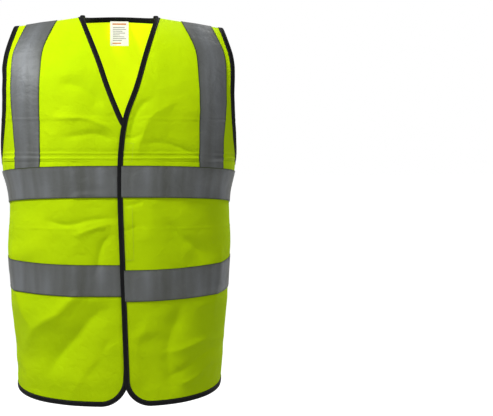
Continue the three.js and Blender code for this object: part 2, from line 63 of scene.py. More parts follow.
# %% Camera
EYE_HEIGHT = -0.228
camera_data = bpy.data.cameras.new("camera")
camera_data.lens = 101.3
camera = bpy.data.objects.new("camera", camera_data)
scene.collection.objects.link(camera)
camera.location = (0, -2.4, EYE_HEIGHT)


def aim(thing, target):
    """Turn a camera or lamp so that it looks along -Z at a point."""
    direction = np.array(target) - np.array(thing.location)
    yaw = math.atan2(direction[0], direction[1])
    pitch = math.atan2(direction[2], math.hypot(direction[0], direction[1]))
    thing.rotation_euler = (math.pi / 2 + pitch, 0, -yaw)


aim(camera, (0.219, 0, -0.328))
scene.camera = camera
scene.view_settings.view_transform = "Standard"
print("lens", camera_data.lens, "mm")

# %% Lamps, surroundings and floor
VEST_MIDDLE = (0, 0, -0.3)


def softbox(name, place, size, power):
    """A square area lamp that looks at the middle of the vest."""
    data = bpy.data.lights.new(name, "AREA")
    data.size = size
    data.energy = power
    lamp = bpy.data.objects.new(name, data)
    lamp.location = place
    aim(lamp, VEST_MIDDLE)
    scene.collection.objects.link(lamp)


softbox("key_light", (-0.85, -0.75, 0.85), 0.35, 22)
softbox("fill_light", (1.2, -2.3, 0.5), 1.4, 8)
softbox("back_light", (1.1, 1.35, 1.1), 0.8, 24)

world = bpy.data.worlds.new("surroundings")
scene.world = world
world.use_nodes = True
nodes, links = world.node_tree.nodes, world.node_tree.links
nodes.clear()
seen, lit = nodes.new("ShaderNodeBackground"), nodes.new("ShaderNodeBackground")
seen.inputs["Color"].default_value = (1, 1, 1, 1)
seen.inputs["Strength"].default_value = 1.0
lit.inputs["Color"].default_value = (1, 1, 1, 1)
lit.inputs["Strength"].default_value = 0.24
path, blend_in = nodes.new("ShaderNodeLightPath"), nodes.new("ShaderNodeMixShader")
world_out = nodes.new("ShaderNodeOutputWorld")
links.new(path.outputs["Is Camera Ray"], blend_in.inputs["Fac"])
links.new(lit.outputs[0], blend_in.inputs[1])
links.new(seen.outputs[0], blend_in.inputs[2])
links.new(blend_in.outputs[0], world_out.inputs["Surface"])

# %% [markdown]
# ## The shape of the cloth
# The cloth has a front and a back that meet at the shoulder seams and the side seams. A place
# on a face is (u, drop): u runs from 0 on the centre line to 1 on the outer edge, and drop is
# the distance below the shoulder line in millimetres. Each level is a superellipse, which is
# the plump rectangle that a chest section is.

# %% Driving sizes, in millimetres
NECK_HALF, NECK_BACK, NECK_RISE = 62.0, 70.0, 6.0
SHOULDER_HALF, SHOULDER_FALL = 177.0, 18.0
ARMHOLE, ARMHOLE_WIDEST = 246.0, 140.0
HEM_SIDE, HEM_CENTRE = 624.0, 648.0
SECTION_POWER, ARMHOLE_WRAP = 2.4, 0.735
ROLL_DROP, SHOULDER_FADE = 230.0, 200.0
LAYER_LIFT = 2.3
NECK_POINT = 172.0
CORNER = 45.0
TAPE, BINDING = 52.0, 8.0
CLOTH_HALF = 0.3


def smooth(start, end, value):
    """The smoothstep: 0 at start, 1 at end, level at both."""
    t = np.clip((value - start) / (end - start), 0, 1)
    return t * t * (3 - 2 * t)


def mix(a, b, t):
    return a + (b - a) * t


def through(stations):
    """A smooth curve through [position, value] stations: cubic pieces whose slope at a station
    is that of the line between its two neighbours."""
    xs, ys = np.array(stations, float).T
    slopes = np.empty_like(ys)
    slopes[1:-1] = (ys[2:] - ys[:-2]) / (xs[2:] - xs[:-2])
    slopes[0] = (ys[1] - ys[0]) / (xs[1] - xs[0])
    slopes[-1] = (ys[-1] - ys[-2]) / (xs[-1] - xs[-2])

    def curve(position):
        x = np.clip(position, xs[0], xs[-1])
        i = np.clip(np.searchsorted(xs, x, side="right") - 1, 0, len(xs) - 2)
        width = xs[i + 1] - xs[i]
        t = (x - xs[i]) / width
        rise = t * t * (3 - 2 * t)
        bend = t * (1 - t) * ((1 - t) * slopes[i] - t * slopes[i + 1])
        return mix(ys[i], ys[i + 1], rise) + width * bend

    return curve


side_half = through([
    [0, 177], [60, 192], [150, 192], [246, 198], [300, 188], [406, 188], [624, 173]])


# %% A face of the cloth
class Face:
    """The front or the back: its direction along Y, its armhole and its depth at each drop."""

    def __init__(self, sign, reach, depth):
        self.sign, self.reach, self.depth = sign, reach, through(depth)
        near_foot = ARMHOLE - 30 * np.linspace(0, 1, 90) ** 2
        self.drops = np.unique(np.concatenate([
            np.linspace(0, 1, 60) ** 2 * 20, np.linspace(20.5, 680, 900), near_foot]))
        self.angles = np.linspace(0, 1, 181)
        turns = np.sin(self.angles * math.pi / 2)
        points = self.point(turns[None, :], self.drops[:, None])
        steps = np.linalg.norm(np.diff(points, axis=1), axis=2)
        self.lengths = np.concatenate([np.zeros((len(self.drops), 1)), np.cumsum(steps, axis=1)], axis=1)
        self.widths = self.lengths[:, -1]
        self.shares = np.linspace(0, 1, 401)
        self.turns = np.array([np.interp(self.shares * w, row, turns)
                               for w, row in zip(self.widths, self.lengths)])
        profile = self.point(np.zeros_like(self.drops), self.drops, neckline=False)
        self.runs = np.concatenate([[0], np.cumsum(np.linalg.norm(np.diff(profile, axis=0), axis=1))])

    def armhole_reach(self, drop):
        """How far the armhole's edge lies before or behind the shoulder end: an oval."""
        half = np.where(drop < ARMHOLE_WIDEST, ARMHOLE_WIDEST, ARMHOLE - ARMHOLE_WIDEST)
        return self.reach * np.sqrt(np.clip(1 - ((drop - ARMHOLE_WIDEST) / half) ** 2, 0, 1))

    def point(self, u, drop, neckline=True):
        """x = u times the half width; y is the armhole's reach plus the rest of the depth times
        a superellipse; z is minus the drop, with the shoulder's slope."""
        u, drop = np.broadcast_arrays(np.asarray(u, float), np.asarray(drop, float))
        drop = np.maximum(drop, 0)
        x = u * side_half(drop)
        edge = self.armhole_reach(drop)
        wrap = mix(ARMHOLE_WRAP, 1, smooth(160, ARMHOLE, drop))
        height = lambda v: np.clip(1 - np.clip(v, 0, 1) ** SECTION_POWER, 0, 1) ** (1 / SECTION_POWER)
        section = (height(u * wrap) - height(wrap)) / (1 - height(wrap))
        roll = 1 - (1 - np.minimum(drop / ROLL_DROP, 1)) ** 2.4
        centre = self.depth(drop) * roll ** 0.667
        y = edge + (centre - edge) * section
        top = 1 - smooth(0, SHOULDER_FADE, drop)
        fall = SHOULDER_FALL / (SHOULDER_HALF - NECK_HALF)
        z = -drop - fall * np.maximum(x - NECK_HALF, 0) * top
        if self.sign > 0 and neckline:
            arc = np.clip(1 - (x / NECK_HALF) ** 2, 0, 1)
            y = np.cbrt((NECK_BACK * np.sqrt(arc) * top) ** 3 + y ** 3)
            z = z + NECK_RISE * arc * top
        return np.stack([x, self.sign * y, z], axis=-1)

    def normal(self, u, drop):
        """Outward normal: the cross product of a small step across and a small step down."""
        step = np.where(u + 0.004 > 1, -0.004, 0.004)
        here = self.point(u, drop)
        across = (self.point(u + step, drop) - here) * np.sign(step)[..., None]
        down = self.point(u, drop + 0.05) - here
        cross = np.cross(across, down) * self.sign
        return cross / np.maximum(np.linalg.norm(cross, axis=-1, keepdims=True), 1e-9)

    def _row(self, drop):
        """Place of each drop in the tables, as a row number and the rest."""
        at = np.interp(drop, self.drops, np.arange(len(self.drops)))
        low = np.clip(at.astype(int), 0, len(self.drops) - 2)
        return low, at - low

    def width(self, drop):
        return np.interp(drop, self.drops, self.widths)

    def length_at(self, u, drop):
        """Cloth length from the centre line out to u."""
        low, rest = self._row(drop)
        at = np.arcsin(np.clip(np.abs(u), 0, 1)) / (math.pi / 2) * (len(self.angles) - 1)
        k = np.clip(at.astype(int), 0, len(self.angles) - 2)
        row = lambda i: mix(self.lengths[i, k], self.lengths[i, k + 1], at - k)
        return np.sign(u) * mix(row(low), row(low + 1), rest)

    def turn_at(self, length, drop):
        """The u at a cloth length from the centre line."""
        low, rest = self._row(drop)
        share = np.clip(np.abs(length) / self.width(drop), 0, 1) * (len(self.shares) - 1)
        k = np.clip(share.astype(int), 0, len(self.shares) - 2)
        row = lambda i: mix(self.turns[i, k], self.turns[i, k + 1], share - k)
        return np.sign(length) * mix(row(low), row(low + 1), rest)

    def run_at(self, drop):
        """Cloth length below the shoulder seam, along the centre line's profile."""
        return np.interp(drop, self.drops, self.runs)

    def drop_at(self, run):
        return np.interp(run, self.runs, self.drops)


front = Face(-1, 68, [[230, 130], [320, 135], [420, 135], [624, 129]])
back = Face(1, 75, [[230, 128], [390, 120], [624, 130]])
print("cloth from the centre line to the side seam at the waist: %.0f and %.0f mm"
      % (front.width(400.0), back.width(400.0)))

# %% [markdown]
# ## Folds and creases
# Light cloth is never a clean surface. It keeps the sharp lines where it was folded in its
# bag, it hangs in long soft folds from the bust and the closure, and it puckers where a tape
# holds it. Each fold here is a rounded crest along a line, which falls away to both sides and
# fades at its two ends. All of them add up to one height that tapes and bindings share.

# %% The fold field
def fold(x, drop, start, end, width, height):
    """A fold along a slightly bowed line from start to end, each (x, drop). Its height falls off
    exponentially to both sides of a rounded crest, as in pinched cloth, and fades at the ends."""
    start, end = np.array(start, float), np.array(end, float)
    length = np.linalg.norm(end - start)
    along = (end - start) / length
    dx, dy = x - start[0], drop - start[1]
    t = (dx * along[0] + dy * along[1]) / length
    away = dx * along[1] - dy * along[0] + 0.06 * length * np.sin(math.pi * t)
    ends = smooth(-0.15, 0.2, t) * (1 - smooth(0.75, 1.15, t))
    return height * np.exp(0.35 - 1.7 * np.sqrt((away / width) ** 2 + 0.045)) * ends


def ripple(x, drop, seed, wavelength):
    """A smooth random height of about one unit: six sine waves of random turn and phase."""
    random = np.random.default_rng(seed)
    total = np.zeros_like(x)
    for _ in range(6):
        turn, phase = random.uniform(0, math.pi), random.uniform(0, 2 * math.pi)
        k = 2 * math.pi / (wavelength * random.uniform(0.7, 1.5))
        total += np.sin(k * (x * math.cos(turn) + drop * math.sin(turn)) + phase)
    return total / 3


def packing_lines(drop, lines):
    """The sharp lines left by folding: a narrow ridge in a slightly wider dip."""
    total = np.zeros_like(drop)
    for line, height in lines:
        away = drop - line
        total += height * (np.exp(-(away / 1.6) ** 2) - 0.6 * np.exp(-(away / 7) ** 2))
    return total


FRONT_FOLDS = [
    ((-30, 150), (-95, 120), 14, -1.5), ((-12, 196), (-110, 168), 9, 1.1),
    ((-10, 214), (-90, 205), 8, -0.9), ((-118, 342), (-7, 332), 6, -0.9),
    ((-75, 362), (-10, 346), 10, 1.1), ((-8, 372), (-48, 430), 13, -1.4),
    ((-12, 303), (-80, 314), 9, 0.8), ((-22, 488), (-120, 592), 24, -2.5),
    ((0, 545), (-84, 634), 18, 1.1), ((-66, 468), (-160, 548), 19, 1.9),
    ((-58, 602), (-14, 540), 16, -0.9), ((-168, 390), (-152, 520), 14, 1.6),
    ((48, 146), (20, 214), 13, -1.5), ((82, 150), (28, 234), 13, 0.9),
    ((128, 238), (38, 214), 9, -0.7), ((60, 330), (150, 405), 20, -1.2),
    ((38, 350), (98, 428), 18, 1.0), ((82, 597), (158, 563), 8, -0.7),
    ((95, 612), (162, 586), 8, 0.6), ((74, 566), (152, 534), 10, 0.6),
    ((45, 500), (24, 612), 22, 1.0), ((96, 480), (80, 622), 22, -1.2),
    ((172, 395), (160, 500), 14, 1.4), ((8, 205), (42, 200), 3.5, -0.6),
    ((6, 318), (36, 314), 3, -0.6), ((6, 356), (32, 352), 3, -0.5),
]
BACK_FOLDS = [
    ((-150, 190), (-60, 240), 13, -2.6), ((150, 190), (60, 240), 13, -2.6),
    ((-170, 300), (-90, 420), 16, 3.0), ((170, 300), (80, 400), 15, 3.0),
    ((-60, 350), (-20, 440), 15, -2.0), ((40, 350), (90, 430), 14, -2.2),
    ((-120, 480), (-60, 640), 17, 3.2), ((-30, 490), (0, 640), 18, -3.0),
    ((60, 480), (120, 640), 16, 3.2), ((150, 470), (165, 620), 13, -2.6),
    ((-160, 470), (-150, 620), 13, -2.6), ((-20, 20), (0, 90), 22, -2.0),
]


FOLD_STRENGTH, PINCH_HEIGHT = 3.1, 0.8
RIPPLE_HEIGHT, FINE_RIPPLE_HEIGHT = 1.3, 0.35


def cloth_height(face, x, drop, from_seam):
    """Millimetres that the cloth stands out from its plain shape."""
    is_front = face.sign < 0
    total = np.zeros_like(x)
    bent_x = x + 5 * ripple(x, drop, 21, 120)
    bent_drop = drop + 5 * ripple(x, drop, 22, 110)
    for line in FRONT_FOLDS if is_front else BACK_FOLDS:
        total += FOLD_STRENGTH * fold(bent_x, bent_drop, *line)
    pinch = np.abs(ripple(bent_x * 0.8, bent_drop * 1.3, 31 if is_front else 33, 80))
    total += PINCH_HEIGHT * (1 - np.sqrt(pinch ** 2 + 0.02)) * smooth(-0.4, 0.8, ripple(x, drop, 41, 210))
    lines = [(176, 0.9), (233, 1.0), (241, 1.0), (356, 0.5)] if is_front else [
        (176, 0.9), (276, 0.9), (372, 0.7), (560, 0.5)]
    total += packing_lines(drop, lines)
    total += RIPPLE_HEIGHT * ripple(x, drop, 3 if is_front else 5, 95)
    total += FINE_RIPPLE_HEIGHT * ripple(bent_x, bent_drop, 7 if is_front else 9, 34)
    if is_front:
        strip = smooth(3, 5, x) * (1 - smooth(20, 23, x))
        total += 0.8 * strip * smooth(316, 319, drop) * (1 - smooth(407, 410, drop))
    calm = smooth(0, 60, drop)
    near_side = smooth(ARMHOLE - 40, ARMHOLE, drop)
    calm = calm * mix(1, smooth(0, 28, from_seam), near_side)
    pucker = np.exp(-(from_seam / 6) ** 2)
    seam = pucker * (-0.9 + 0.35 * np.sin(drop / 3.1 + 2 * np.sin(drop / 23)))
    return total * calm + seam * smooth(ARMHOLE, ARMHOLE + 25, drop)


def on_cloth(face, half, u, drop, lift):
    """Points at a lift from the middle of the cloth. half is 1 on the left front, -1 on the
    right front, which lies under the left one where they overlap, and 0 on the back."""
    u, drop, lift = np.broadcast_arrays(*(np.asarray(value, float) for value in (u, drop, lift)))
    turn = np.abs(u)
    point = face.point(turn, drop)
    side = np.sign(np.where(u == 0, 1, u)) * (half or 1)
    from_seam = face.width(drop) - face.length_at(turn, drop)
    height = cloth_height(face, point[..., 0] * side, drop, from_seam)
    if half:
        layer = (1 - smooth(35, 100, point[..., 0])) * smooth(60, NECK_POINT - 10, drop)
        height = height * mix(1, 0.8, layer) + half * LAYER_LIFT * layer
    point = point + face.normal(turn, drop) * (lift + height)[..., None]
    point[..., 0] *= side
    return point * MM


# %% [markdown]
# ## Turning grids into closed meshes
# A cloth piece is a thin closed shell: an outer grid, an inner grid and a rim. A binding is a
# profile carried along an edge. Both are whole numpy arrays that go into the mesh in one step,
# with a UV map in metres of cloth, so a knit pattern keeps its true size and bends with it.

# %% Mesh builders
def add_mesh(name, points, faces, uv, material, sharp=0.9):
    """A mesh object from vertex positions, quads and one UV pair for each vertex. Its name says
    that it is the sewn piece, because the plain solid of the frame may have the same name."""
    name = f"sewn_{name}"
    mesh = bpy.data.meshes.new(name)
    mesh.from_pydata(points.reshape(-1, 3), [], faces)
    layer = mesh.uv_layers.new(name="UVMap")
    corners = np.empty(len(mesh.loops), np.int32)
    mesh.loops.foreach_get("vertex_index", corners)
    layer.data.foreach_set("uv", uv.reshape(-1, 2)[corners].astype(np.float32).ravel())
    mesh.materials.append(material)
    mesh.validate()
    mesh.update()
    if signed_volume(mesh) < 0:
        mesh.flip_normals()
    mesh.shade_smooth()
    mesh.set_sharp_from_angle(angle=sharp)
    thing = bpy.data.objects.new(name, mesh)
    scene.collection.objects.link(thing)
    return thing


def signed_volume(mesh):
    """Six times the volume inside a closed mesh; it is negative if the faces point inwards."""
    mesh.calc_loop_triangles()
    corners = np.empty(len(mesh.loop_triangles) * 3, np.int32)
    mesh.loop_triangles.foreach_get("vertices", corners)
    points = np.empty(len(mesh.vertices) * 3, np.float32)
    mesh.vertices.foreach_get("co", points)
    a, b, c = points.reshape(-1, 3)[corners.reshape(-1, 3)].astype(float).transpose(1, 0, 2)
    return float(np.einsum("ij,ij->", a, np.cross(b, c)))


def grid_faces(rows, columns, first=0, flip=False, wrap=False):
    """Quads between neighbouring rows and columns of a grid of vertices."""
    numbers = first + np.arange(rows * columns).reshape(rows, columns)
    if wrap:
        numbers = np.concatenate([numbers, numbers[:, :1]], axis=1)
    a, b, c, d = numbers[:-1, :-1], numbers[:-1, 1:], numbers[1:, 1:], numbers[1:, :-1]
    quads = np.stack([a, b, c, d], axis=-1).reshape(-1, 4)
    return quads[:, ::-1] if flip else quads


def add_shells(name, grids, material):
    """One mesh of closed shells, each the outer grid, the inner grid turned round, and a rim."""
    points, faces, uvs, first = [], [], [], 0
    for outer, inner in grids:
        rows_here, columns = outer.shape[:2]
        count = rows_here * columns
        numbers = np.arange(count).reshape(rows_here, columns)
        loop = np.concatenate([numbers[0, :-1], numbers[:-1, -1], numbers[-1, :0:-1], numbers[:0:-1, 0]])
        rim = np.stack([loop, loop + count, np.roll(loop, -1) + count, np.roll(loop, -1)], axis=-1)
        both = [grid_faces(rows_here, columns), grid_faces(rows_here, columns, count, True), rim]
        faces += (np.concatenate(both) + first).tolist()
        points += [outer.reshape(-1, 3), inner.reshape(-1, 3)]
        uvs += [cloth_uv(outer).reshape(-1, 2)] * 2
        first += 2 * count
    return add_mesh(name, np.concatenate(points), faces, np.concatenate(uvs), material)


def cloth_uv(points):
    """UV in metres: length along each row from its start, and down the middle column."""
    across = np.linalg.norm(np.diff(points, axis=1), axis=2)
    across = np.concatenate([np.zeros((len(points), 1)), np.cumsum(across, axis=1)], axis=1)
    middle = points.shape[1] // 2
    across = across - across[:, middle:middle + 1]
    down = np.linalg.norm(np.diff(points[:, middle], axis=0), axis=1)
    down = np.concatenate([[0], np.cumsum(down)])[:, None] + np.zeros_like(across)
    return np.stack([across, -down], axis=-1)


def trim(name, face, half, u, drop, near, far, material, across=None):
    """A strip, print or patch that follows the cloth between two lifts. far may vary over it.
    across, if given, is each point's distance from the strip's edge, kept for the material."""
    outer = on_cloth(face, half, u, drop, far)
    inner = on_cloth(face, half, u, drop, near)
    strip = add_shells(name, [(outer, inner)], material)
    if across is not None:
        from_edge = np.broadcast_to(np.minimum(across, TAPE - across), u.shape).astype(np.float32)
        layer = strip.data.attributes.new("from_edge", "FLOAT", "POINT")
        layer.data.foreach_set("value", np.tile(from_edge.ravel(), 2))
    return strip


# %% [markdown]
# ## Materials
# Four effects are shared as node groups. The knit is a grid of small loops. The dye group
# gives slow clouds of dye and a fine crumple. The bead group is the sandpaper glitter of
# retroreflective tape, and the rib group is the fine cross-rib of binding tape.

# %% Node groups
def node_group(name, inputs, outputs):
    """An empty shader node group with named float inputs and typed outputs."""
    group = bpy.data.node_groups.new(name, "ShaderNodeTree")
    for label, value in inputs.items():
        socket = group.interface.new_socket(label, in_out="INPUT", socket_type="NodeSocketFloat")
        socket.default_value = value
    for label in outputs:
        group.interface.new_socket(label, in_out="OUTPUT", socket_type="NodeSocketFloat")
    return group, group.nodes.new("NodeGroupInput"), group.nodes.new("NodeGroupOutput")


def math_node(tree, operation, *values):
    """A Math node; a value may be a number or another node's output."""
    node = tree.nodes.new("ShaderNodeMath")
    node.operation = operation
    for socket, value in zip(node.inputs, values):
        if isinstance(value, (int, float)):
            socket.default_value = value
        else:
            tree.links.new(value, socket)
    return node.outputs[0]


def uv_axes(tree):
    """The two UV coordinates, in metres of cloth."""
    uv = tree.nodes.new("ShaderNodeUVMap")
    uv.uv_map = "UVMap"
    split = tree.nodes.new("ShaderNodeSeparateXYZ")
    tree.links.new(uv.outputs[0], split.inputs[0])
    return uv.outputs[0], split.outputs[0], split.outputs[1]


def noise_node(tree, vector, scale, detail=3.0, roughness=0.5):
    node = tree.nodes.new("ShaderNodeTexNoise")
    node.inputs["Scale"].default_value = scale
    node.inputs["Detail"].default_value = detail
    node.inputs["Roughness"].default_value = roughness
    tree.links.new(vector, node.inputs["Vector"])
    return node.outputs[0]


def knit_group():
    """Wales and courses: a sum of two sine waves, the second one shifted by the first."""
    group, given, out = node_group("knit loops", {"Wales per metre": 900.0, "Courses per metre": 1150.0},
                                   ["Height", "Gap shade"])
    _, across, down = uv_axes(group)
    wales = math_node(group, "MULTIPLY", across, given.outputs[0])
    courses = math_node(group, "MULTIPLY", down, given.outputs[1])
    wave = math_node(group, "SINE", math_node(group, "MULTIPLY", wales, 2 * math.pi))
    shift = math_node(group, "MULTIPLY", wave, 0.25)
    turn = math_node(group, "MULTIPLY", math_node(group, "ADD", courses, shift), 2 * math.pi)
    loops = math_node(group, "SINE", turn)
    height = math_node(group, "MULTIPLY_ADD", loops, 0.5, math_node(group, "MULTIPLY", wave, 0.6))
    # Gap is low where the loops sink, and the cloth's colour darkens there as painted shade.
    gap = math_node(group, "SMOOTH_MIN", math_node(group, "ADD", height, 0.9), 0.6, 0.3)
    group.links.new(height, out.inputs[0])
    group.links.new(gap, out.inputs[1])
    return group


def patches_group():
    """Slow clouds of darker dye, and fine crumpling as a height."""
    group, given, out = node_group("dye and crumple", {"Cloud scale": 9.0, "Crumple scale": 60.0},
                                   ["Cloud", "Crumple"])
    vector, _, _ = uv_axes(group)
    cloud = group.nodes.new("ShaderNodeTexNoise")
    cloud.inputs["Detail"].default_value = 4
    crumple = group.nodes.new("ShaderNodeTexNoise")
    crumple.inputs["Detail"].default_value = 3
    crumple.inputs["Distortion"].default_value = 0.8
    for node, scale, socket in ((cloud, 0, 0), (crumple, 1, 1)):
        group.links.new(vector, node.inputs["Vector"])
        group.links.new(given.outputs[scale], node.inputs["Scale"])
        group.links.new(node.outputs[0], out.inputs[socket])
    return group


def bead_group():
    """Glass beads: small Voronoi cells, some of them brighter."""
    group, given, out = node_group("glass beads", {"Beads per metre": 2600.0}, ["Height", "Glint"])
    vector, _, _ = uv_axes(group)
    cells = group.nodes.new("ShaderNodeTexVoronoi")
    group.links.new(vector, cells.inputs["Vector"])
    group.links.new(given.outputs[0], cells.inputs["Scale"])
    bright = group.nodes.new("ShaderNodeSeparateColor")
    group.links.new(cells.outputs["Color"], bright.inputs[0])
    group.links.new(math_node(group, "SUBTRACT", 1.0, cells.outputs["Distance"]), out.inputs[0])
    group.links.new(bright.outputs[0], out.inputs[1])
    return group


def rib_group():
    """Cross ribs of woven binding tape: a rectified sine along the tape."""
    group, given, out = node_group("binding ribs", {"Ribs per metre": 1400.0}, ["Height"])
    _, across, down = uv_axes(group)
    turn = math_node(group, "MULTIPLY", math_node(group, "MULTIPLY", down, given.outputs[0]), math.pi)
    rib = math_node(group, "ABSOLUTE", math_node(group, "SINE", turn))
    warp = math_node(group, "SINE", math_node(group, "MULTIPLY", across, 2 * math.pi * 1700))
    group.links.new(math_node(group, "MULTIPLY_ADD", warp, 0.2, rib), out.inputs[0])
    return group


KNIT, PATCHES, BEADS, RIBS = knit_group(), patches_group(), bead_group(), rib_group()
print("node groups", [group.name for group in bpy.data.node_groups])


# %% Material helpers
def start_material(name, roughness=None, sheen=0.0, emission=None):
    """A new material with its Principled shader; what is the same all over is set on its sockets."""
    material = bpy.data.materials.new(name)
    material.use_nodes = True
    tree = material.node_tree
    shader = tree.nodes["Principled BSDF"]
    if roughness is not None:
        shader.inputs["Roughness"].default_value = roughness
    shader.inputs["Sheen Weight"].default_value = sheen
    if emission:
        shader.inputs["Emission Color"].default_value = (*emission[0], 1)
        shader.inputs["Emission Strength"].default_value = emission[1]
    return material, tree, shader


def use_group(tree, group, **values):
    node = tree.nodes.new("ShaderNodeGroup")
    node.node_tree = group
    for label, value in values.items():
        node.inputs[label.replace("_", " ")].default_value = value
    return node


def mixed(tree, factor, low, high):
    """A colour between two, by a mask."""
    node = tree.nodes.new("ShaderNodeMix")
    node.data_type = "RGBA"
    tree.links.new(factor, node.inputs["Factor"])
    node.inputs["A"].default_value = (*low, 1)
    node.inputs["B"].default_value = (*high, 1)
    return node.outputs["Result"]


def bump(tree, shader, layers):
    """Bump nodes in a chain, each (height output, depth in metres)."""
    normal = None
    for height, depth in layers:
        node = tree.nodes.new("ShaderNodeBump")
        node.inputs["Distance"].default_value = depth
        tree.links.new(height, node.inputs["Height"])
        if normal:
            tree.links.new(normal, node.inputs["Normal"])
        normal = node.outputs[0]
    tree.links.new(normal, shader.inputs["Normal"])


# %% [markdown]
# Fluorescent cloth sends back more green than falls on it, so it needs a very pure base
# colour and a little light of its own. The knit shows as fine relief and as painted shade in
# the gaps between the loops. The inside of the cloth gives off painted light, for the light
# that falls in through the neck opening: the value `inside` is 0 on the outside and says how
# much at each place inside.

# %% The materials
def cloth_material():
    material, tree, shader = start_material("fluorescent_knit")
    shader.inputs["Emission Strength"].default_value = 1.0
    shader.inputs["Specular IOR Level"].default_value = 0.04
    # The inside of the cloth gives off painted light, strongest at the back of the neck, where light falls in
    # through the neck opening; the outside gives off only a little fluorescent light.
    neck_light_mask = tree.nodes.new("ShaderNodeAttribute")
    neck_light_mask.attribute_name = "inside"
    glow = mixed(tree, neck_light_mask.outputs["Fac"], (0.03, 0.045, 0.0), (0.56, 0.60, 0.004))
    tree.links.new(glow, shader.inputs["Emission Color"])
    knit = use_group(tree, KNIT)
    dye = use_group(tree, PATCHES)
    # The colour darkens with painted shade between the knit loops and with random clouds of dye.
    shade = math_node(tree, "MULTIPLY_ADD", knit.outputs["Gap shade"], 0.7, math_node(
        tree, "MULTIPLY", dye.outputs["Cloud"], 0.8))
    colour = mixed(tree, shade, (0.425, 0.68, 0.0005), (0.62, 0.88, 0.001))
    tree.links.new(colour, shader.inputs["Base Color"])
    rough = math_node(tree, "MULTIPLY_ADD", knit.outputs["Height"], 0.06, 0.72)
    tree.links.new(rough, shader.inputs["Roughness"])
    bump(tree, shader, [(dye.outputs["Crumple"], 0.0013), (knit.outputs["Height"], 0.00012)])
    return material


def tape_material():
    material, tree, shader = start_material("retroreflective_tape")
    beads = use_group(tree, BEADS)
    dye = use_group(tree, PATCHES, Cloud_scale=14.0, Crumple_scale=45.0)
    vector, _, _ = uv_axes(tree)
    stretch = tree.nodes.new("ShaderNodeMapping")
    stretch.inputs["Scale"].default_value = (1.0, 0.12, 1.0)
    tree.links.new(vector, stretch.inputs["Vector"])
    streak = noise_node(tree, stretch.outputs[0], 26.0, 2.5, 0.55)
    shade = math_node(tree, "MULTIPLY_ADD", beads.outputs["Glint"], 0.25, math_node(
        tree, "MULTIPLY", dye.outputs["Cloud"], 0.3))
    # Streaks along the tape lighten and darken its colour: painted highlight and shade of its small ripples,
    # which the same noise also raises in the bump.
    ripple_shade = math_node(tree, "MULTIPLY", math_node(tree, "SUBTRACT", streak, 0.4), 3.6)
    shade = math_node(tree, "MULTIPLY_ADD", ripple_shade, 0.65, shade)
    colour = mixed(tree, shade, (0.072, 0.075, 0.060), (0.185, 0.197, 0.208))
    # Within 1.8 mm of each edge the colour falls to a dark olive: painted shade where the tape steps down to
    # the cloth.
    edge = tree.nodes.new("ShaderNodeAttribute")
    edge.attribute_name = "from_edge"
    rim = tree.nodes.new("ShaderNodeMapRange")
    rim.inputs["From Min"].default_value, rim.inputs["From Max"].default_value = 0.8, 1.8
    tree.links.new(edge.outputs["Fac"], rim.inputs["Value"])
    edge_shaded_colour = tree.nodes.new("ShaderNodeMix")
    edge_shaded_colour.data_type = "RGBA"
    edge_shaded_colour.inputs["A"].default_value = (0.035, 0.045, 0.01, 1)
    tree.links.new(rim.outputs[0], edge_shaded_colour.inputs["Factor"])
    tree.links.new(colour, edge_shaded_colour.inputs["B"])
    tree.links.new(edge_shaded_colour.outputs["Result"], shader.inputs["Base Color"])
    shader.inputs["Metallic"].default_value = 0.2
    shader.inputs["Specular IOR Level"].default_value = 0.3
    rough = math_node(tree, "MULTIPLY_ADD", beads.outputs["Glint"], 0.15, 0.45)
    tree.links.new(rough, shader.inputs["Roughness"])
    bump(tree, shader, [
        (dye.outputs["Crumple"], 0.0016), (streak, 0.002), (beads.outputs["Height"], 0.00006)])
    return material


def binding_material():
    material, tree, shader = start_material("black_binding")
    shader.inputs["Specular IOR Level"].default_value = 0.15
    ribs = use_group(tree, RIBS)
    colour = mixed(tree, ribs.outputs["Height"], (0.0008, 0.0008, 0.001), (0.0035, 0.0035, 0.004))
    tree.links.new(colour, shader.inputs["Base Color"])
    rough = math_node(tree, "MULTIPLY_ADD", ribs.outputs["Height"], 0.15, 0.65)
    tree.links.new(rough, shader.inputs["Roughness"])
    bump(tree, shader, [(ribs.outputs["Height"], 0.00012)])
    return material


def thread_material(name, low, high):
    """Twisted sewing thread: a fine diagonal stripe of two tones."""
    material, tree, shader = start_material(name, None, 0.2)
    _, across, down = uv_axes(tree)
    turn = math_node(tree, "MULTIPLY", math_node(tree, "ADD", across, down), 2 * math.pi * 2500)
    stripe = math_node(tree, "MULTIPLY_ADD", math_node(tree, "SINE", turn), 0.5, 0.5)
    tree.links.new(mixed(tree, stripe, low, high), shader.inputs["Base Color"])
    tree.links.new(math_node(tree, "MULTIPLY_ADD", stripe, 0.2, 0.5), shader.inputs["Roughness"])
    return material


def patch_material(name, low, high, scale, depth):
    """Hook tape or loop tape: a bed of small round bumps."""
    material, tree, shader = start_material(name, None, 0.3)
    beads = use_group(tree, BEADS, Beads_per_metre=scale)
    tree.links.new(mixed(tree, beads.outputs["Height"], low, high), shader.inputs["Base Color"])
    rough = math_node(tree, "MULTIPLY_ADD", beads.outputs["Glint"], 0.2, 0.7)
    tree.links.new(rough, shader.inputs["Roughness"])
    bump(tree, shader, [(beads.outputs["Height"], depth)])
    return material


def printed_material(name, low, high, roughness, emission=None):
    """Ink or satin label cloth: a fine weave under a slightly uneven coat."""
    material, tree, shader = start_material(name, emission=emission)
    ribs = use_group(tree, RIBS, Ribs_per_metre=2200.0)
    dye = use_group(tree, PATCHES, Cloud_scale=40.0, Crumple_scale=120.0)
    tree.links.new(mixed(tree, dye.outputs["Cloud"], low, high), shader.inputs["Base Color"])
    rough = math_node(tree, "MULTIPLY_ADD", dye.outputs["Cloud"], 0.2, roughness)
    tree.links.new(rough, shader.inputs["Roughness"])
    bump(tree, shader, [(ribs.outputs["Height"], 0.00005), (dye.outputs["Crumple"], 0.0004)])
    return material


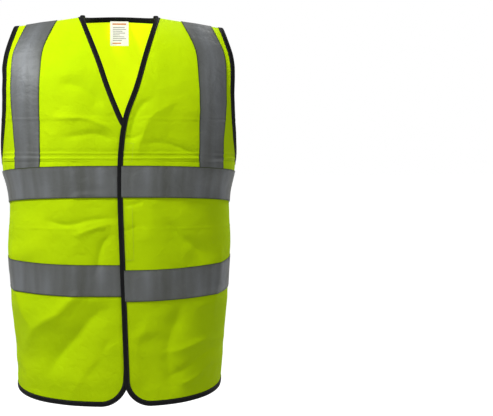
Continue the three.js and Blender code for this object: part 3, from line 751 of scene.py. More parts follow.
CLOTH, REFLECTIVE, BLACK = cloth_material(), tape_material(), binding_material()
GREY_THREAD = thread_material("grey_thread", (0.05, 0.055, 0.04), (0.13, 0.145, 0.10))
BLACK_THREAD = thread_material("black_thread", (0.003, 0.003, 0.003), (0.02, 0.02, 0.02))
YELLOW_THREAD = thread_material("yellow_thread", (0.45, 0.62, 0.01), (0.62, 0.85, 0.02))
HOOKS = patch_material("hook_tape", (0.38, 0.52, 0.01), (0.66, 0.84, 0.03), 700.0, 0.0006)
LOOPS = patch_material("loop_tape", (0.42, 0.58, 0.01), (0.66, 0.84, 0.05), 420.0, 0.0005)
INK = printed_material("black_ink", (0.006, 0.006, 0.006), (0.014, 0.014, 0.014), 0.42)
# The care label gives off a little pinkish light of its own: painted light that keeps it white beside the
# green cloth.
LABEL = printed_material("label_satin_painted_glow", (0.84, 0.80, 0.74), (0.93, 0.90, 0.86), 0.5, ((0.9, 0.8, 0.9), 0.22))
ORANGE_INK = printed_material("orange_ink", (0.75, 0.22, 0.05), (0.85, 0.32, 0.10), 0.5)
GREY_INK = printed_material("grey_ink", (0.22, 0.20, 0.20), (0.38, 0.36, 0.36), 0.5)
FLOOR = printed_material("pale_floor", (0.78, 0.78, 0.77), (0.84, 0.84, 0.83), 0.6, ((1, 1, 1), 0.85))

# %% [markdown]
# ## Lines on the cloth
# The front edges, the tape edges and the armholes are curves on the cloth. The left front laps
# over the right one, and its lower corner is a quarter of a circle.

# %% Edges and tape lines
left_edge = through([[0, 62], [62, 42], [122, 25], [172, 7], [228, -1.6], [300, -3.3], [411, 0], [603, 6.5]])
right_edge = through([[0, 62], [72, 34], [122, 17], [172, -3], [218, -24], [411, -24], [603, -12]])


def sagging(centre, side):
    """A line over a face that is at one drop in the centre and at another at the side seam."""
    def line(u):
        turn = np.clip(np.abs(u), 0, 1)
        return mix(side, centre, (1 - turn ** SECTION_POWER) ** (1 / SECTION_POWER))
    return line


hem_line = sagging(HEM_CENTRE, HEM_SIDE)
CHEST_TAPE, WAIST_TAPE = ARMHOLE + 33, 441
CHEST = {"front": sagging(CHEST_TAPE, ARMHOLE + 45), "back": sagging(ARMHOLE + 69, ARMHOLE + 45)}
WAIST = {"left": sagging(449, 430), "right": sagging(WAIST_TAPE, 430), "back": sagging(458, 430)}


def front_hem(edge):
    """The hem of a front, with the corner's quarter circle cut from it at the front edge."""
    def line(u):
        x = u * side_half(HEM_CENTRE) - edge(HEM_CENTRE)
        inset = CORNER - np.clip(x, 0, CORNER)
        return hem_line(u) - CORNER + np.sqrt(CORNER ** 2 - inset ** 2)
    return line


def shares_to_places(face, rows, inner, shares, hem):
    """Places (u, drop) of a panel's grid. A row is a drop down to the armhole's foot, and then
    a share of the way to the hem; a column is a share of the cloth from inner to outer edge."""
    foot = rows <= ARMHOLE
    drop = np.where(foot, rows, ARMHOLE)[:, None] + np.zeros((1, len(shares)))
    below = (np.clip(rows, ARMHOLE, None) - ARMHOLE)[:, None] / (HEM_CENTRE - ARMHOLE)
    for _ in range(6):
        start = face.length_at(inner(drop) / side_half(drop), drop)
        u = face.turn_at(mix(start, face.width(drop), shares[None, :]), drop)
        drop = np.where(foot[:, None], rows[:, None], mix(ARMHOLE, hem(u), below))
    return u, drop


def panel_rows(step):
    """Drops of the rows: even steps round the armhole's oval, and even steps below it."""
    upper = ARMHOLE_WIDEST * (1 - np.cos(np.linspace(0.004, 1, int(150 / step)) * math.pi / 2))
    lower = mix(ARMHOLE_WIDEST, ARMHOLE, np.sin(np.linspace(0, 1, int(140 / step))[1:] * math.pi / 2))
    below = np.linspace(ARMHOLE, HEM_CENTRE, int(402 / step))[1:]
    return np.concatenate([upper, lower, below])


# %% [markdown]
# ## The cloth panels
# There are three: one back and two fronts. They are grids of 2 to 3 mm cells, so that the
# packing creases stay crisp, closed to a 0.6 mm thick shell. The inside has painted light: it
# glows most at the middle of the back of the neck, and fades downwards and towards the armholes.

# %% Panels
ROW_STEP = 2.2
rows, back_rows = panel_rows(ROW_STEP), panel_rows(ROW_STEP * 1.25)


def add_panel(name, face, half, u, drop):
    """A shell of cloth, with how much painted light its inside gives off."""
    outer = on_cloth(face, half, u, drop, CLOTH_HALF)
    inner = on_cloth(face, half, u, drop, -CLOTH_HALF)
    panel = add_shells(name, [(outer, inner)], CLOTH)
    inside = panel.data.attributes.new("inside", "FLOAT", "POINT")
    # Painted light on the inside: full at the back of the neck, fading downwards and to the sides, and weak
    # all over the fronts.
    lit_by_neck = 1 - 0.85 * smooth(110, 320, drop) * (face is back) - 0.85 * (face is front)
    lit_by_neck *= 1 - 0.7 * smooth(60, 150, np.abs(u) * side_half(drop))
    values = np.concatenate([0 * drop.ravel(), lit_by_neck.ravel()])
    inside.data.foreach_set("value", values.astype(np.float32))
    return panel


front_shares = np.linspace(0, 1, 118) ** 1.35
fronts = {}
for side, half, edge in (("left", 1, left_edge), ("right", -1, right_edge)):
    u, drop = shares_to_places(front, rows, edge, front_shares, front_hem(edge))
    fronts[side] = add_panel(f"{side}_front_cloth", front, half, u, drop)
neck_turn = NECK_HALF / SHOULDER_HALF


def back_places():
    """The back's grid: the neckline's columns follow its arc, and the others share the rest."""
    inner_u = neck_turn * np.sin(np.linspace(0, 1, 31) * math.pi / 2)
    shares = np.linspace(0, 1, 63)[1:]
    half_u, half_drop = shares_to_places(
        back, back_rows, lambda d: neck_turn * side_half(d), shares, hem_line)
    middle_u = inner_u[None, :] + np.zeros((len(back_rows), 1))
    below = (np.clip(back_rows, ARMHOLE, None) - ARMHOLE)[:, None] / (HEM_CENTRE - ARMHOLE)
    at_foot = (back_rows <= ARMHOLE)[:, None]
    middle_drop = np.where(at_foot, back_rows[:, None], mix(ARMHOLE, hem_line(middle_u), below))
    u = np.concatenate([middle_u, half_u], axis=1)
    drop = np.concatenate([middle_drop, half_drop], axis=1)
    return (np.concatenate([-u[:, :0:-1], u], axis=1), np.concatenate([drop[:, :0:-1], drop], axis=1))


back_u, back_drop = back_places()
back_cloth = add_panel("back_cloth", back, 0, back_u, back_drop)
for panel in (*fronts.values(), back_cloth):
    print(panel.name, len(panel.data.polygons), "faces")

# %% [markdown]
# ## Reflective tapes
# A tape is 52 mm wide and sewn down along both edges, so it sinks a little at each row of
# stitches and its free middle stands out. The chest tape lies over the ends of the braces.

# %% Tapes
STITCH_INSET = 2.6
tape_across = np.concatenate([[0, 0.6], np.linspace(1.4, TAPE - 1.4, 25), [TAPE - 0.6, TAPE]])


def tape_relief(across, along, from_seam=1000.0):
    """Lift of a tape over the cloth: flat at the edges, pressed in at the stitches and loose
    between, but held flat where it runs into the side seam."""
    edge = np.minimum(across, TAPE - across)
    stitch = np.exp(-((edge - STITCH_INSET) / 0.9) ** 2)
    loose = smooth(STITCH_INSET, TAPE / 2, edge) * smooth(4, 24, from_seam)
    bent = along + 0.22 * across * np.sin(along / 61)
    wrinkle = np.abs(np.sin(bent / 13 + 1.7 * np.sin(bent / 37))) ** 0.6
    return 0.95 - 0.25 * stitch + loose * (0.9 * wrinkle * smooth(-0.5, 0.9, np.sin(bent / 47 + 1)) - 0.1)


def band(name, face, half, line, inner, outer=None, extra=0.0):
    """A tape round a face, from one column to another, centred on a line of drops."""
    lengths = np.arange(0, 1.0001, 1 / 130)
    offsets = (tape_across - TAPE / 2)[:, None]
    drop = line(0.5) + offsets + np.zeros((1, len(lengths)))
    for _ in range(5):
        start = inner(drop)
        end = face.width(drop) if outer is None else outer(drop)
        u = face.turn_at(mix(start, end, lengths[None, :]), drop)
        drop = line(u) + offsets
    along = face.length_at(u, drop) + (10 if half > 0 else 300)
    from_seam = face.width(drop) - np.abs(face.length_at(u, drop))
    lift = CLOTH_HALF + extra + tape_relief(tape_across[:, None], along, from_seam)
    tape = trim(name, face, half, u, drop, CLOTH_HALF + extra + 0.1, lift, REFLECTIVE, tape_across[:, None])
    return tape, (face, half, u, drop, lift)


def beside_edge(face, edge, inset):
    return lambda drop: face.length_at(edge(drop) / side_half(drop), drop) + inset


tapes, tape_grids = {}, {}
for side, half, edge in (("left", 1, left_edge), ("right", -1, right_edge)):
    for level, line, extra in (("chest", CHEST["front"], 0.75), ("waist", WAIST[side], 0.0)):
        key = f"{side}_{level}_tape"
        tapes[key], tape_grids[key] = band(key, front, half, line, beside_edge(front, edge, BINDING - 2.5),
                                           extra=extra)
for level, line, extra in (("chest", CHEST["back"], 0.75), ("waist", WAIST["back"], 0.0)):
    key = f"back_{level}_tape"
    tapes[key], tape_grids[key] = band(key, back, 0, line, lambda d: -back.width(d), extra=extra)


def brace(name, face, half, settled_x, end_line):
    """A tape over the shoulder: its middle runs in from 131 mm at the seam to settled_x."""
    middle = through([[0, 131], [62, settled_x], [246, settled_x]])
    runs = np.linspace(0.002, 1, 180)
    stop = end_line(0.75) - TAPE / 2 + 6
    drop = face.drop_at(runs * face.run_at(stop))[:, None] + np.zeros((1, len(tape_across)))
    u = face.turn_at(face.length_at(middle(drop) / side_half(drop), drop) + tape_across - TAPE / 2, drop)
    lift = CLOTH_HALF + tape_relief(tape_across[None, :], face.run_at(drop))
    sign = 1 if half or name.startswith("left") else -1
    tape = trim(name, face, half, u * sign, drop, CLOTH_HALF + 0.1, lift, REFLECTIVE, tape_across[None, :])
    return tape, (face, half, (u * sign).T, drop.T, lift.T)


for side, half in (("left", 1), ("right", -1)):
    for face, own_half, settled, line in ((front, half, 153, CHEST["front"]), (back, 0, 146, CHEST["back"])):
        key = f"{side}_{'front' if own_half else 'back'}_brace_tape"
        tapes[key], tape_grids[key] = brace(key, face, own_half, settled, line)
print("tapes", sorted(tapes))

# %% [markdown]
# ## Bindings
# Every cut edge has a black tape folded round it. Its profile is a narrow U with a rounded
# back and a dimple where the stitches pull it in. The profile is carried along the edge, and
# the arms of the U follow the cloth on both sides.

# %% Binding builder
SLOT = CLOTH_HALF + 0.08
ARM = [(inset, SLOT + lift) for inset, lift in (
    (BINDING, 0), (BINDING, 0.55), (BINDING - 0.6, 0.85), (BINDING - 1.8, 0.6), (BINDING - 3.4, 1.0),
    (2.2, 1.15), (0.6, 1.0), (-0.5, 0.6))]
PROFILE = np.array([
    *ARM, (-0.9, 0), *[(inset, -lift) for inset, lift in reversed(ARM)], (0.1, -SLOT), (0.1, SLOT)])


def plain_point(face, q):
    """The plain cloth at q = (length from the centre line, run below the seam), x signed."""
    drop = face.drop_at(np.maximum(q[:, 1], 0))
    u = face.turn_at(q[:, 0], drop)
    point = face.point(np.abs(u), drop)
    point[:, 0] *= np.where(u < 0, -1, 1)
    return point


def edge_path(face, u, drop, spacing):
    """Places along an edge at even steps, as (length, run) pairs."""
    q = np.stack([face.length_at(u, drop), face.run_at(drop)], axis=1)
    gone = np.linalg.norm(np.diff(plain_point(face, q), axis=0), axis=1)
    gone = np.concatenate([[0], np.cumsum(gone)])
    at = np.linspace(0, gone[-1], int(gone[-1] / spacing) + 1)
    return np.stack([np.interp(at, gone, q[:, k]) for k in range(2)], axis=1)


def edge_frame(face, q, from_side):
    """Inward direction at each place of an edge, and the (length, run) step that goes 1 mm that
    way. Where from_side is true the steps down keep their distance from the armhole, because a
    step straight down would leave the cloth."""
    def moved(inwards, down):
        run = np.maximum(q[:, 1] + down, 0)
        kept = face.width(face.drop_at(run)) - face.width(face.drop_at(q[:, 1]))
        return np.stack([q[:, 0] - inwards + np.where(from_side, kept, 0), run], axis=1)

    points = plain_point(face, q)
    along = np.gradient(points, axis=0)
    along /= np.linalg.norm(along, axis=1, keepdims=True)
    step = np.where(q[:, 0] > 0.9 * face.width(face.drop_at(q[:, 1])), 0.5, -0.5)
    by_in = (plain_point(face, moved(step, 0)) - points) / step[:, None]
    by_down = (plain_point(face, moved(0 * step, 0.5)) - points) / 0.5
    direction = np.cross(np.cross(by_in, by_down), along)
    direction /= np.linalg.norm(direction, axis=1, keepdims=True)
    middle = face.point(0.45, 330.0)
    direction *= np.sign(np.sum(direction * (middle - points)))
    a, b, c = (np.sum(p * r, axis=1) for p, r in ((by_in, by_in), (by_in, by_down), (by_down, by_down)))
    p, r = np.sum(by_in * direction, axis=1), np.sum(by_down * direction, axis=1)
    det = np.maximum(a * c - b * b, 1e-6)
    return direction, moved, (c * p - b * r) / det, (a * r - b * p) / det


def beside(face, half, mirror, q, frame_at, inset, lift):
    """Points on the real cloth at a distance inside an edge; a negative one goes past the edge."""
    direction, moved, step_in, step_down = frame_at
    kept = max(inset, 0.0)
    place = moved(step_in * kept, step_down * kept)
    drop = face.drop_at(np.maximum(place[:, 1], 0))
    u = face.turn_at(place[:, 0], drop) * (1 if half else mirror)
    points = on_cloth(face, half, u, drop, lift)
    return points + direction * [mirror, 1, 1] * (inset - kept) * MM


def binding_points(face, half, mirror, q, from_side):
    """The profile at each place of an edge."""
    frame_at = edge_frame(face, q, from_side)
    return np.stack([beside(face, half, mirror, q, frame_at, a, b) for a, b in PROFILE], axis=1)


def sweep(name, points, material, closed=False, uv=None):
    """A closed tube from points (stations, profile, 3); open ends get flat caps."""
    stations, corners = points.shape[:2]
    faces = grid_faces(stations, corners, wrap=True).tolist()
    last = (stations - 1) * corners
    if closed:
        faces += [[last + k, last + (k + 1) % corners, (k + 1) % corners, k] for k in range(corners)]
    else:
        faces += [list(range(corners)), list(range(last + corners - 1, last - 1, -1))]
    if uv is None:
        gone = np.linalg.norm(np.diff(points[:, 5], axis=0), axis=1)
        along = np.concatenate([[0], np.cumsum(gone)])
        uv = np.stack(np.broadcast_arrays(np.linspace(0, 0.02, corners)[None, :], along[:, None]), axis=-1)
    return add_mesh(name, points, faces, uv, material)


# %% Bindings
def front_path(edge):
    """Down a front's neck and front edge, round its corner, and along the hem to the side."""
    hem = front_hem(edge)
    top = np.concatenate([np.linspace(0, 1, 60) ** 2 * 30, np.linspace(30.5, HEM_CENTRE - CORNER, 300)])
    start = edge(HEM_CENTRE)
    turn = np.linspace(0, math.pi / 2, 60)[1:]
    corner_x = start + CORNER * (1 - np.cos(turn))
    hem_x = np.linspace(start + CORNER + 0.5, side_half(HEM_SIDE), 400)
    u = np.clip(np.concatenate([corner_x, hem_x]) / side_half(HEM_CENTRE), -1, 1)
    corner_u, hem_u = u[:len(turn)], u[len(turn):]
    corner_drop = HEM_CENTRE - CORNER + CORNER * np.sin(turn) + (hem_line(corner_u) - HEM_CENTRE)
    outline = np.concatenate([corner_drop, hem_line(hem_u)])
    return np.concatenate([edge(top) / side_half(top), u]), np.concatenate([top, outline])


bindings, paths = {}, {}
for side, half, edge in (("left", 1, left_edge), ("right", -1, right_edge)):
    q = edge_path(front, *front_path(edge), 3.0)
    paths[f"{side}_front_edge_binding"] = (front, half, half, q, np.zeros(len(q), bool))
hem_u = np.linspace(-1, 1, 600)
paths["back_hem_binding"] = (back, 0, 1, edge_path(back, hem_u, hem_line(hem_u), 3.0), False)
for name, (face, half, mirror, q, from_side) in paths.items():
    bindings[name] = sweep(name, binding_points(face, half, mirror, q, from_side), BLACK)

neck_u = neck_turn * np.sin(np.linspace(-0.985, 0.985, 120) * math.pi / 2)


def neck_row(inset, lift):
    """A row of the back neck binding; the cloth hangs straight down from the neckline there."""
    return on_cloth(back, 0, neck_u, max(inset, 0.0), lift) + [0, 0, max(-inset, 0.0) * MM]


bindings["back_neck_binding"] = sweep(
    "back_neck_binding", np.stack([neck_row(a, b) for a, b in PROFILE], axis=1), BLACK)

armhole_paths = {}
armhole_drop = np.concatenate([
    ARMHOLE_WIDEST * (1 - np.cos(np.linspace(0.004, 1, 300) * math.pi / 2)),
    mix(ARMHOLE_WIDEST, ARMHOLE, np.sin(np.linspace(0, 0.92, 300)[1:] * math.pi / 2))])
for side, mirror in (("left", 1), ("right", -1)):
    halves = []
    for face, half in ((front, mirror), (back, 0)):
        q = edge_path(face, np.ones_like(armhole_drop), armhole_drop, 2.6)
        q[:, 0] = face.width(face.drop_at(q[:, 1]))
        from_side = q[:, 1] < face.run_at(ARMHOLE_WIDEST)
        armhole_paths[side, "front" if half else "back"] = (face, half, mirror, q, from_side)
        halves.append(binding_points(face, half, mirror, q, from_side))
    name = f"{side}_armhole_binding"
    bindings[name] = sweep(name, np.concatenate([halves[0], halves[1][::-1]]), BLACK, closed=True)
print("bindings", {name: len(thing.data.polygons) for name, thing in bindings.items()})

# %% [markdown]
# The neck binding of the back runs straight over the ends of the front ones at the shoulder
# seam, and its folded corner stands up a little there. A small rounded tab does that.

# %% Neck corners
def add_blob(name, centre, radii, material):
    """A small closed ellipsoid, squarer than a ball, with 14 x 8 faces."""
    rings, around = np.linspace(0.06, math.pi - 0.06, 9), np.linspace(0, 2 * math.pi, 15)[:-1]
    power = lambda value: np.sign(value) * np.abs(value) ** 0.7
    x = power(np.sin(rings))[:, None] * power(np.cos(around))[None, :]
    y = power(np.sin(rings))[:, None] * power(np.sin(around))[None, :]
    z = power(np.cos(rings))[:, None] + 0 * x
    points = (np.stack([x, y, z], axis=-1) * radii + centre) * MM
    uv = np.stack(np.broadcast_arrays(around[None, :] * 0.004, rings[:, None] * 0.004), axis=-1)
    return sweep(name, points, material, uv=uv)


for side, mirror in (("left", 1), ("right", -1)):
    name = f"{side}_neck_corner"
    bindings[name] = add_blob(name, (mirror * 62.5, 1.5, 0.6), (4.6, 4.2, 2.7), BLACK)

# %% [markdown]
# ## Stitches
# A lockstitch shows as a row of short dashes. Each is a small six-sided capsule laid on the
# tape or binding and pointing along the row, with a gap before the next. All the dashes of a
# row group are one mesh.

# %% Stitch builder
def capsule():
    """A six-sided capsule along X, of unit half length and unit radius: 4 rings and 2 tips."""
    rings = [(-0.82, 0.72), (-0.45, 1), (0.45, 1), (0.82, 0.72)]
    turn = np.arange(6) * math.pi / 3
    points = [(x, r * math.cos(t), r * math.sin(t)) for x, r in rings for t in turn]
    points += [(-1, 0, 0), (1, 0, 0)]
    faces = grid_faces(4, 6, wrap=True).tolist()
    faces += [[24, (k + 1) % 6, k] for k in range(6)]
    faces += [[25, 18 + k, 18 + (k + 1) % 6] for k in range(6)]
    return np.array(points), faces


CAPSULE, CAPSULE_FACES = capsule()
BINDING_STITCH, BINDING_STITCH_LIFT = BINDING - 1.8, SLOT + 0.62


def values_at(places, gone, values):
    """Points or directions read off a polyline at lengths along it."""
    return np.stack([np.interp(places, gone, values[:, k]) for k in range(3)], axis=1)


def add_stitches(name, rows_of_points, material, pitch=3.4, length=2.3, width=0.34, height=0.24):
    """Dashes along polylines in metres; each row is (points, outward normals)."""
    centres, tangents, normals = [], [], []
    for points, outwards in rows_of_points:
        gone = np.concatenate([[0], np.cumsum(np.linalg.norm(np.diff(points, axis=0), axis=1))])
        at = np.arange(pitch / 2 * MM, gone[-1], pitch * MM)
        centres.append(values_at(at, gone, points))
        tangents.append(values_at(at + 0.8 * MM, gone, points) - values_at(at - 0.8 * MM, gone, points))
        normals.append(values_at(at, gone, outwards))
    centre, tangent, normal = (np.concatenate(group) for group in (centres, tangents, normals))
    tangent /= np.linalg.norm(tangent, axis=1, keepdims=True)
    normal -= tangent * np.sum(normal * tangent, axis=1, keepdims=True)
    normal /= np.linalg.norm(normal, axis=1, keepdims=True)
    side = np.cross(normal, tangent)
    axes = np.stack([tangent * length / 2, side * width, normal * height], axis=1) * MM
    points = centre[:, None, :] + np.einsum("pk,nkc->npc", CAPSULE, axes)
    count = len(CAPSULE)
    faces = [[corner + n * count for corner in face] for n in range(len(centre)) for face in CAPSULE_FACES]
    uv = np.broadcast_to(CAPSULE[None, :, :2] * MM, (len(centre), count, 2))
    thing = add_mesh(name, points, faces, np.ascontiguousarray(uv), material)
    return thing, len(centre)


def surface_row(face, half, u, drop, lift):
    """A row of points on the cloth at a lift, with the outward normals there."""
    points = on_cloth(face, half, u, drop, lift)
    return points, on_cloth(face, half, u, drop, lift + 1) - points


def tape_rows(*keys):
    """The two stitch rows of each tape, a little in from each edge of its grid."""
    rows_here = []
    for key in keys:
        face, half, *grids = tape_grids[key]
        shape = grids[0].shape
        for inset in (STITCH_INSET, TAPE - STITCH_INSET):
            u, drop, lift = (
                np.array([np.interp(inset, tape_across, column) for column in np.broadcast_to(grid, shape).T])
                for grid in grids)
            rows_here.append(surface_row(face, half, u, drop, lift + 0.05))
    return rows_here


def binding_row(face, half, mirror, q, from_side):
    """The stitch row of a binding, in its dimple."""
    frame_at = edge_frame(face, q, from_side)
    points = beside(face, half, mirror, q, frame_at, BINDING_STITCH, BINDING_STITCH_LIFT)
    above = beside(face, half, mirror, q, frame_at, BINDING_STITCH, BINDING_STITCH_LIFT + 1)
    return points, above - points


def neck_stitch_row():
    """The stitch row of the back neck binding."""
    points = neck_row(BINDING_STITCH, BINDING_STITCH_LIFT)
    return points, neck_row(BINDING_STITCH, BINDING_STITCH_LIFT + 1) - points


def round_armhole(front_row, back_row):
    """Join a front row to a back row at the underarm, as one row of points and normals."""
    return tuple(np.concatenate([down, up[::-1]]) for down, up in zip(front_row, back_row))


# %% Stitches on tapes and bindings
stitches = {}
for side in ("left", "right"):
    stitches[f"{side}_front_tape_stitches"] = tape_rows(f"{side}_chest_tape", f"{side}_waist_tape")
    stitches[f"{side}_brace_stitches"] = tape_rows(f"{side}_front_brace_tape", f"{side}_back_brace_tape")
stitches["back_tape_stitches"] = tape_rows("back_chest_tape", "back_waist_tape")
for name, row_list in list(stitches.items()):
    stitches[name], count = add_stitches(name, row_list, GREY_THREAD)
    print(name, count)
binding_rows = {f"{side}_front_edge_stitches": [binding_row(*paths[f"{side}_front_edge_binding"])]
                for side in ("left", "right")}
binding_rows["body_binding_stitches"] = [
    binding_row(*paths["back_hem_binding"]), neck_stitch_row(),
    *[round_armhole(binding_row(*armhole_paths[side, "front"]), binding_row(*armhole_paths[side, "back"]))
      for side in ("left", "right")]]
for name, row_list in binding_rows.items():
    stitches[name], count = add_stitches(name, row_list, BLACK_THREAD)
    print(name, count)

# %% [markdown]
# ## Seams inside
# The front and back are joined at the shoulders and sides by an overlocked seam. Inside, its
# allowance lies flat against the back as a narrow strip, and a zigzag of thread wraps it.

# %% Seams
seams = {}


def add_seam(side, kind, u, drop):
    """A strip of seam allowance on the inside of the back, and the thread that wraps its edge."""
    mirror = 1 if side == "left" else -1
    ridge = np.linspace(-1, 1, u.shape[1])[None, :] ** 2
    outer = on_cloth(back, 0, u * mirror, drop, -CLOTH_HALF - 0.1)
    inner = on_cloth(back, 0, u * mirror, drop, -CLOTH_HALF - 1.3 + 0.5 * ridge)
    name = f"{side}_{kind}_seam"
    seams[name] = add_shells(name, [(outer, inner)], CLOTH)
    count = len(u) * 2
    at = np.linspace(0, len(u) - 1, count)
    swing = (np.arange(count) % 2) * (u.shape[1] - 3) + 1
    low = np.clip(at.astype(int), 0, len(u) - 2)
    pick = lambda grid: mix(grid[low, swing], grid[low + 1, swing], at - low)
    points = on_cloth(back, 0, pick(u) * mirror, pick(drop), -CLOTH_HALF - 1.25)
    outwards = points - on_cloth(back, 0, pick(u) * mirror, pick(drop), -CLOTH_HALF)
    return points, outwards


for side in ("left", "right"):
    down = np.linspace(ARMHOLE + 8, HEM_SIDE - 8, 130)[:, None]
    u_side = back.turn_at(back.width(down) - np.linspace(8.5, 0.8, 6)[None, :], down + np.zeros((1, 6)))
    zigzag = [add_seam(side, "side", u_side, down + np.zeros((1, 6)))]
    across = np.linspace(back.length_at(neck_turn, 5.0) + 6, back.width(5.0) - 10, 44)[:, None]
    drop_at_seam = back.drop_at(np.linspace(1.2, 8.5, 6))[None, :] + 0 * across
    u_seam = back.turn_at(across + 0 * drop_at_seam, drop_at_seam)
    zigzag.append(add_seam(side, "shoulder", u_seam, drop_at_seam))
    name = f"{side}_overlock_thread"
    stitches[name], count = add_stitches(
        name, zigzag, YELLOW_THREAD, pitch=2.6, length=2.7, width=0.22, height=0.2)
    print(name, count)

# %% [markdown]
# ## Closure, print and label
# Hook patches are on the inside of the left front and loop patches on the right front under
# it. The back print is a row of slanted ink bars, 0.15 mm thick. The care label hangs by its
# top edge from the back of the neck, curls a little, and has plain bars for its text.

# %% Hook and loop patches
PATCH_WIDTH, PATCH_INSET, PATCH_UNDER, PATCH_OVER = 16.0, 8.0, CLOTH_HALF + 0.08, CLOTH_HALF + 0.85
UPPER_PATCH_FOOT = CHEST_TAPE - TAPE / 2 - 5
PATCH_SPANS = ((UPPER_PATCH_FOOT - 33, UPPER_PATCH_FOOT),
               (CHEST_TAPE + TAPE / 2 + 13, WAIST_TAPE - TAPE / 2 - 7))
closures = {}
for side, half, edge, word, material in (
        ("left", 1, left_edge, "hook", HOOKS), ("right", -1, right_edge, "loop", LOOPS)):
    for number, (top, bottom) in enumerate(PATCH_SPANS, 1):
        drop = np.linspace(top, bottom, int((bottom - top) / 2.5))[:, None] + np.zeros((1, 9))
        inset = PATCH_INSET + np.linspace(0, PATCH_WIDTH, 9)[None, :]
        u = front.turn_at(beside_edge(front, edge, inset)(drop), drop)
        lifts = (-PATCH_OVER, -PATCH_UNDER) if half > 0 else (PATCH_UNDER, PATCH_OVER)
        name = f"{side}_{word}_patch_{number}"
        closures[name] = trim(name, front, half, u, drop, *lifts, material)
print("closure", sorted(closures))

# %% Stitches round the patches, seen on the outside
for side, half, edge in (("left", 1, left_edge), ("right", -1, right_edge)):
    outlines = []
    for top, bottom in PATCH_SPANS:
        foot, head, near, far = bottom - 1.5, top + 1.5, 1.5, PATCH_WIDTH - 1.5
        corners = [(near, head), (far, head), (far, foot), (near, foot), (near, head)]
        for (inset_a, drop_a), (inset_b, drop_b) in zip(corners, corners[1:]):
            share = np.linspace(0, 1, 30)
            drop = mix(drop_a, drop_b, share)
            inset = PATCH_INSET + mix(inset_a, inset_b, share)
            u = front.turn_at(beside_edge(front, edge, inset)(drop), drop)
            lift = CLOTH_HALF + (0.1 if half > 0 else 0.95)
            outlines.append(surface_row(front, half, u, drop, lift))
    name = f"{side}_front_patch_stitches"
    stitches[name], count = add_stitches(
        name, outlines, YELLOW_THREAD, pitch=3.0, length=2.1, width=0.3, height=0.2)
    print(name, count)


# %% Back print
PRINT_TOP, PRINT_HEIGHT, PRINT_HALF = 105.0, 60.0, 117.0
BAR_PITCH, BAR_WIDTH, BAR_SLANT, BARS_IN_GROUP = 17.6, 11.5, 11.0, 6
grids = []
for k in (*range(BARS_IN_GROUP), *range(BARS_IN_GROUP + 1, 2 * BARS_IN_GROUP + 1)):
    foot = -PRINT_HALF + k * BAR_PITCH
    down = np.linspace(0, 1, 26)[:, None]
    across = foot + np.linspace(0, BAR_WIDTH, 7)[None, :] + BAR_SLANT * (1 - down)
    drop = PRINT_TOP + PRINT_HEIGHT * down + 0 * across
    u = back.turn_at(across, drop)
    grids.append([on_cloth(back, 0, u, drop, CLOTH_HALF + lift) for lift in (0.17, 0.02)])
back_print = add_shells("back_print_bars", grids, INK)

# %% Care label
LABEL_WIDTH, LABEL_LENGTH, LABEL_TOP, LABEL_BACK = 32.0, 43.0, -1.0, 65.0


def label_point(x, down, lift):
    """A hanging label: its foot swings forward and its sides curl, more at the foot."""
    share = down / LABEL_LENGTH
    curl = 1.6 * share * (x / (LABEL_WIDTH / 2)) ** 2 + 0.5 * share * np.sin(x / 5.5 + 1)
    y = LABEL_BACK - 2.5 * share ** 2 - curl - lift
    return np.stack([x + 0 * down, y, LABEL_TOP - down + 0 * x], axis=-1) * MM


def label_grid(x0, x1, top, bottom, near, far):
    """The two sides of a rectangle on the label, as grids of 1.3 mm cells or a little more."""
    x = np.linspace(x0, x1, max(int((x1 - x0) / 1.3), 2) + 1)[None, :]
    down = np.linspace(top, bottom, max(int((bottom - top) / 1.3), 2) + 1)[:, None]
    x, down = np.broadcast_arrays(x, down)
    return label_point(x, down, far), label_point(x, down, near)


INK_LIFTS = (0.22, 0.32)
care_label = add_shells("care_label_cloth", [
    label_grid(-LABEL_WIDTH / 2, LABEL_WIDTH / 2, 0, LABEL_LENGTH, -0.2, 0.2)], LABEL)
orange_bars = add_shells("care_label_orange", [
    label_grid(-12, 12, 3.5, 6, *INK_LIFTS), label_grid(-12, 3, 37.5, 39.5, *INK_LIFTS)], ORANGE_INK)
BAR_LENGTHS, BAR_START, LINE_PITCH = [21, 23, 17, 22, 12, 20, 23, 16], -11.5, 3.3
grey_bars = add_shells("care_label_grey", [
    label_grid(BAR_START, BAR_START + long, 10 + LINE_PITCH * k, 11.1 + LINE_PITCH * k, *INK_LIFTS)
    for k, long in enumerate(BAR_LENGTHS)], GREY_INK)
label_pieces = [care_label, orange_bars, grey_bars]

# %% [markdown]
# ## Who carries what
# The fronts open about a fold line. The cloth, tapes, bindings and stitches of each front
# only have their transforms baked into their meshes and ride no body. The hook and loop
# patches ride the fronts, the rest rides the body, and the label has its own.


def ease(piece):
    """Bake a front's piece's transform into its mesh; it is not blended and rides no body."""
    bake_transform(piece)


for side in ("left", "right"):
    for piece in (fronts[side], bindings[f"{side}_front_edge_binding"], tapes[f"{side}_chest_tape"],
                  tapes[f"{side}_waist_tape"], stitches[f"{side}_front_tape_stitches"],
                  stitches[f"{side}_front_edge_stitches"], stitches[f"{side}_front_patch_stitches"]):
        ease(piece)
for name, piece in closures.items():
    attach(piece, "left_front" if name.startswith("left") else "right_front")
for piece in label_pieces:
    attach(piece, "label")
body_pieces = [back_cloth, back_print, *seams.values()]
body_pieces += [piece for name, piece in tapes.items() if "brace" in name or name.startswith("back")]
body_pieces += [piece for name, piece in bindings.items() if "front_edge" not in name]
body_pieces += [piece for name, piece in stitches.items() if "_front_" not in name]
for piece in body_pieces:
    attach(piece, "vest_body")

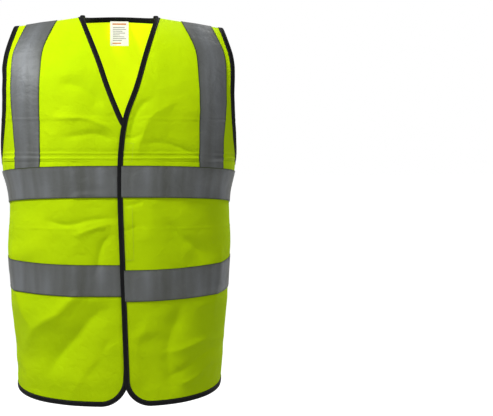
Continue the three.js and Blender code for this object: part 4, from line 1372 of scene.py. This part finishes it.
# %% Nodes of the frame that each piece stands for
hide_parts("back_panel")
for side, word in (("left", "hook"), ("right", "loop")):
    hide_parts(f"{side}_front_side_panel", f"{side}_front_panel")
    for level in ("chest", "waist"):
        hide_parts(f"{side}_side_{level}_tape", f"{side}_front_{level}_tape")
    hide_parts(f"{side}_front_brace_tape")
    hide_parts(f"{side}_back_brace_tape")
    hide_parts(f"{side}_neck_binding", f"{side}_front_binding",
                f"{side}_hem_binding")
    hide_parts(f"{side}_armhole_binding")
    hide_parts(f"{side}_side_seam")
    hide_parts(f"{side}_shoulder_seam")
    for number in (1, 2):
        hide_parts(f"{side}_front_{word}_patch_{number}")
for level in ("chest", "waist"):
    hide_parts(f"back_{level}_tape")
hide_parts("back_hem_binding")
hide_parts("back_neck_binding")
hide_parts("back_print")
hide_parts("care_label")

# %% [markdown]
# ## Flat sizes
# The rectangles are rounded from the lengths of this model's own cloth, and the areas are the
# ones measured on it, so they say that the declaration fits the mesh and not what a real vest
# is cut from.

# %% Measured sizes of the back
def cloth_area(u, drop, face, half):
    """Area of a panel's grid, in square metres: half the cross product of each cell's diagonals."""
    points = on_cloth(face, half, u, drop, 0)
    first, second = points[1:, 1:] - points[:-1, :-1], points[1:, :-1] - points[:-1, 1:]
    return float(np.linalg.norm(np.cross(first, second), axis=2).sum() / 2)


print("back area %.3f m2, width %.3f m, length %.3f m" % (
    cloth_area(back_u, back_drop, back, 0), 2 * back.width(600.0) * MM, back.run_at(HEM_CENTRE) * MM))

# %% [markdown]
# ## Floor
# The floor reaches far back, so that it is white behind the vest from every side. It gives off
# light and is left out of diffuse rays, and so it doesn't light the vest from below.

# %% Floor and surroundings
FLOOR_HALF, FLOOR_HEIGHT = 40.0, -1.02
corners = np.array([(x * FLOOR_HALF, y * FLOOR_HALF, FLOOR_HEIGHT) for x, y in (
    (-1, -1), (1, -1), (1, 1), (-1, 1))])
floor_mesh = bpy.data.meshes.new("floor")
floor_mesh.from_pydata(corners, [], [(0, 1, 2, 3)])
floor_mesh.uv_layers.new(name="UVMap")
floor_mesh.materials.append(FLOOR)
floor = bpy.data.objects.new("floor", floor_mesh)
scene.collection.objects.link(floor)
floor.visible_diffuse = False
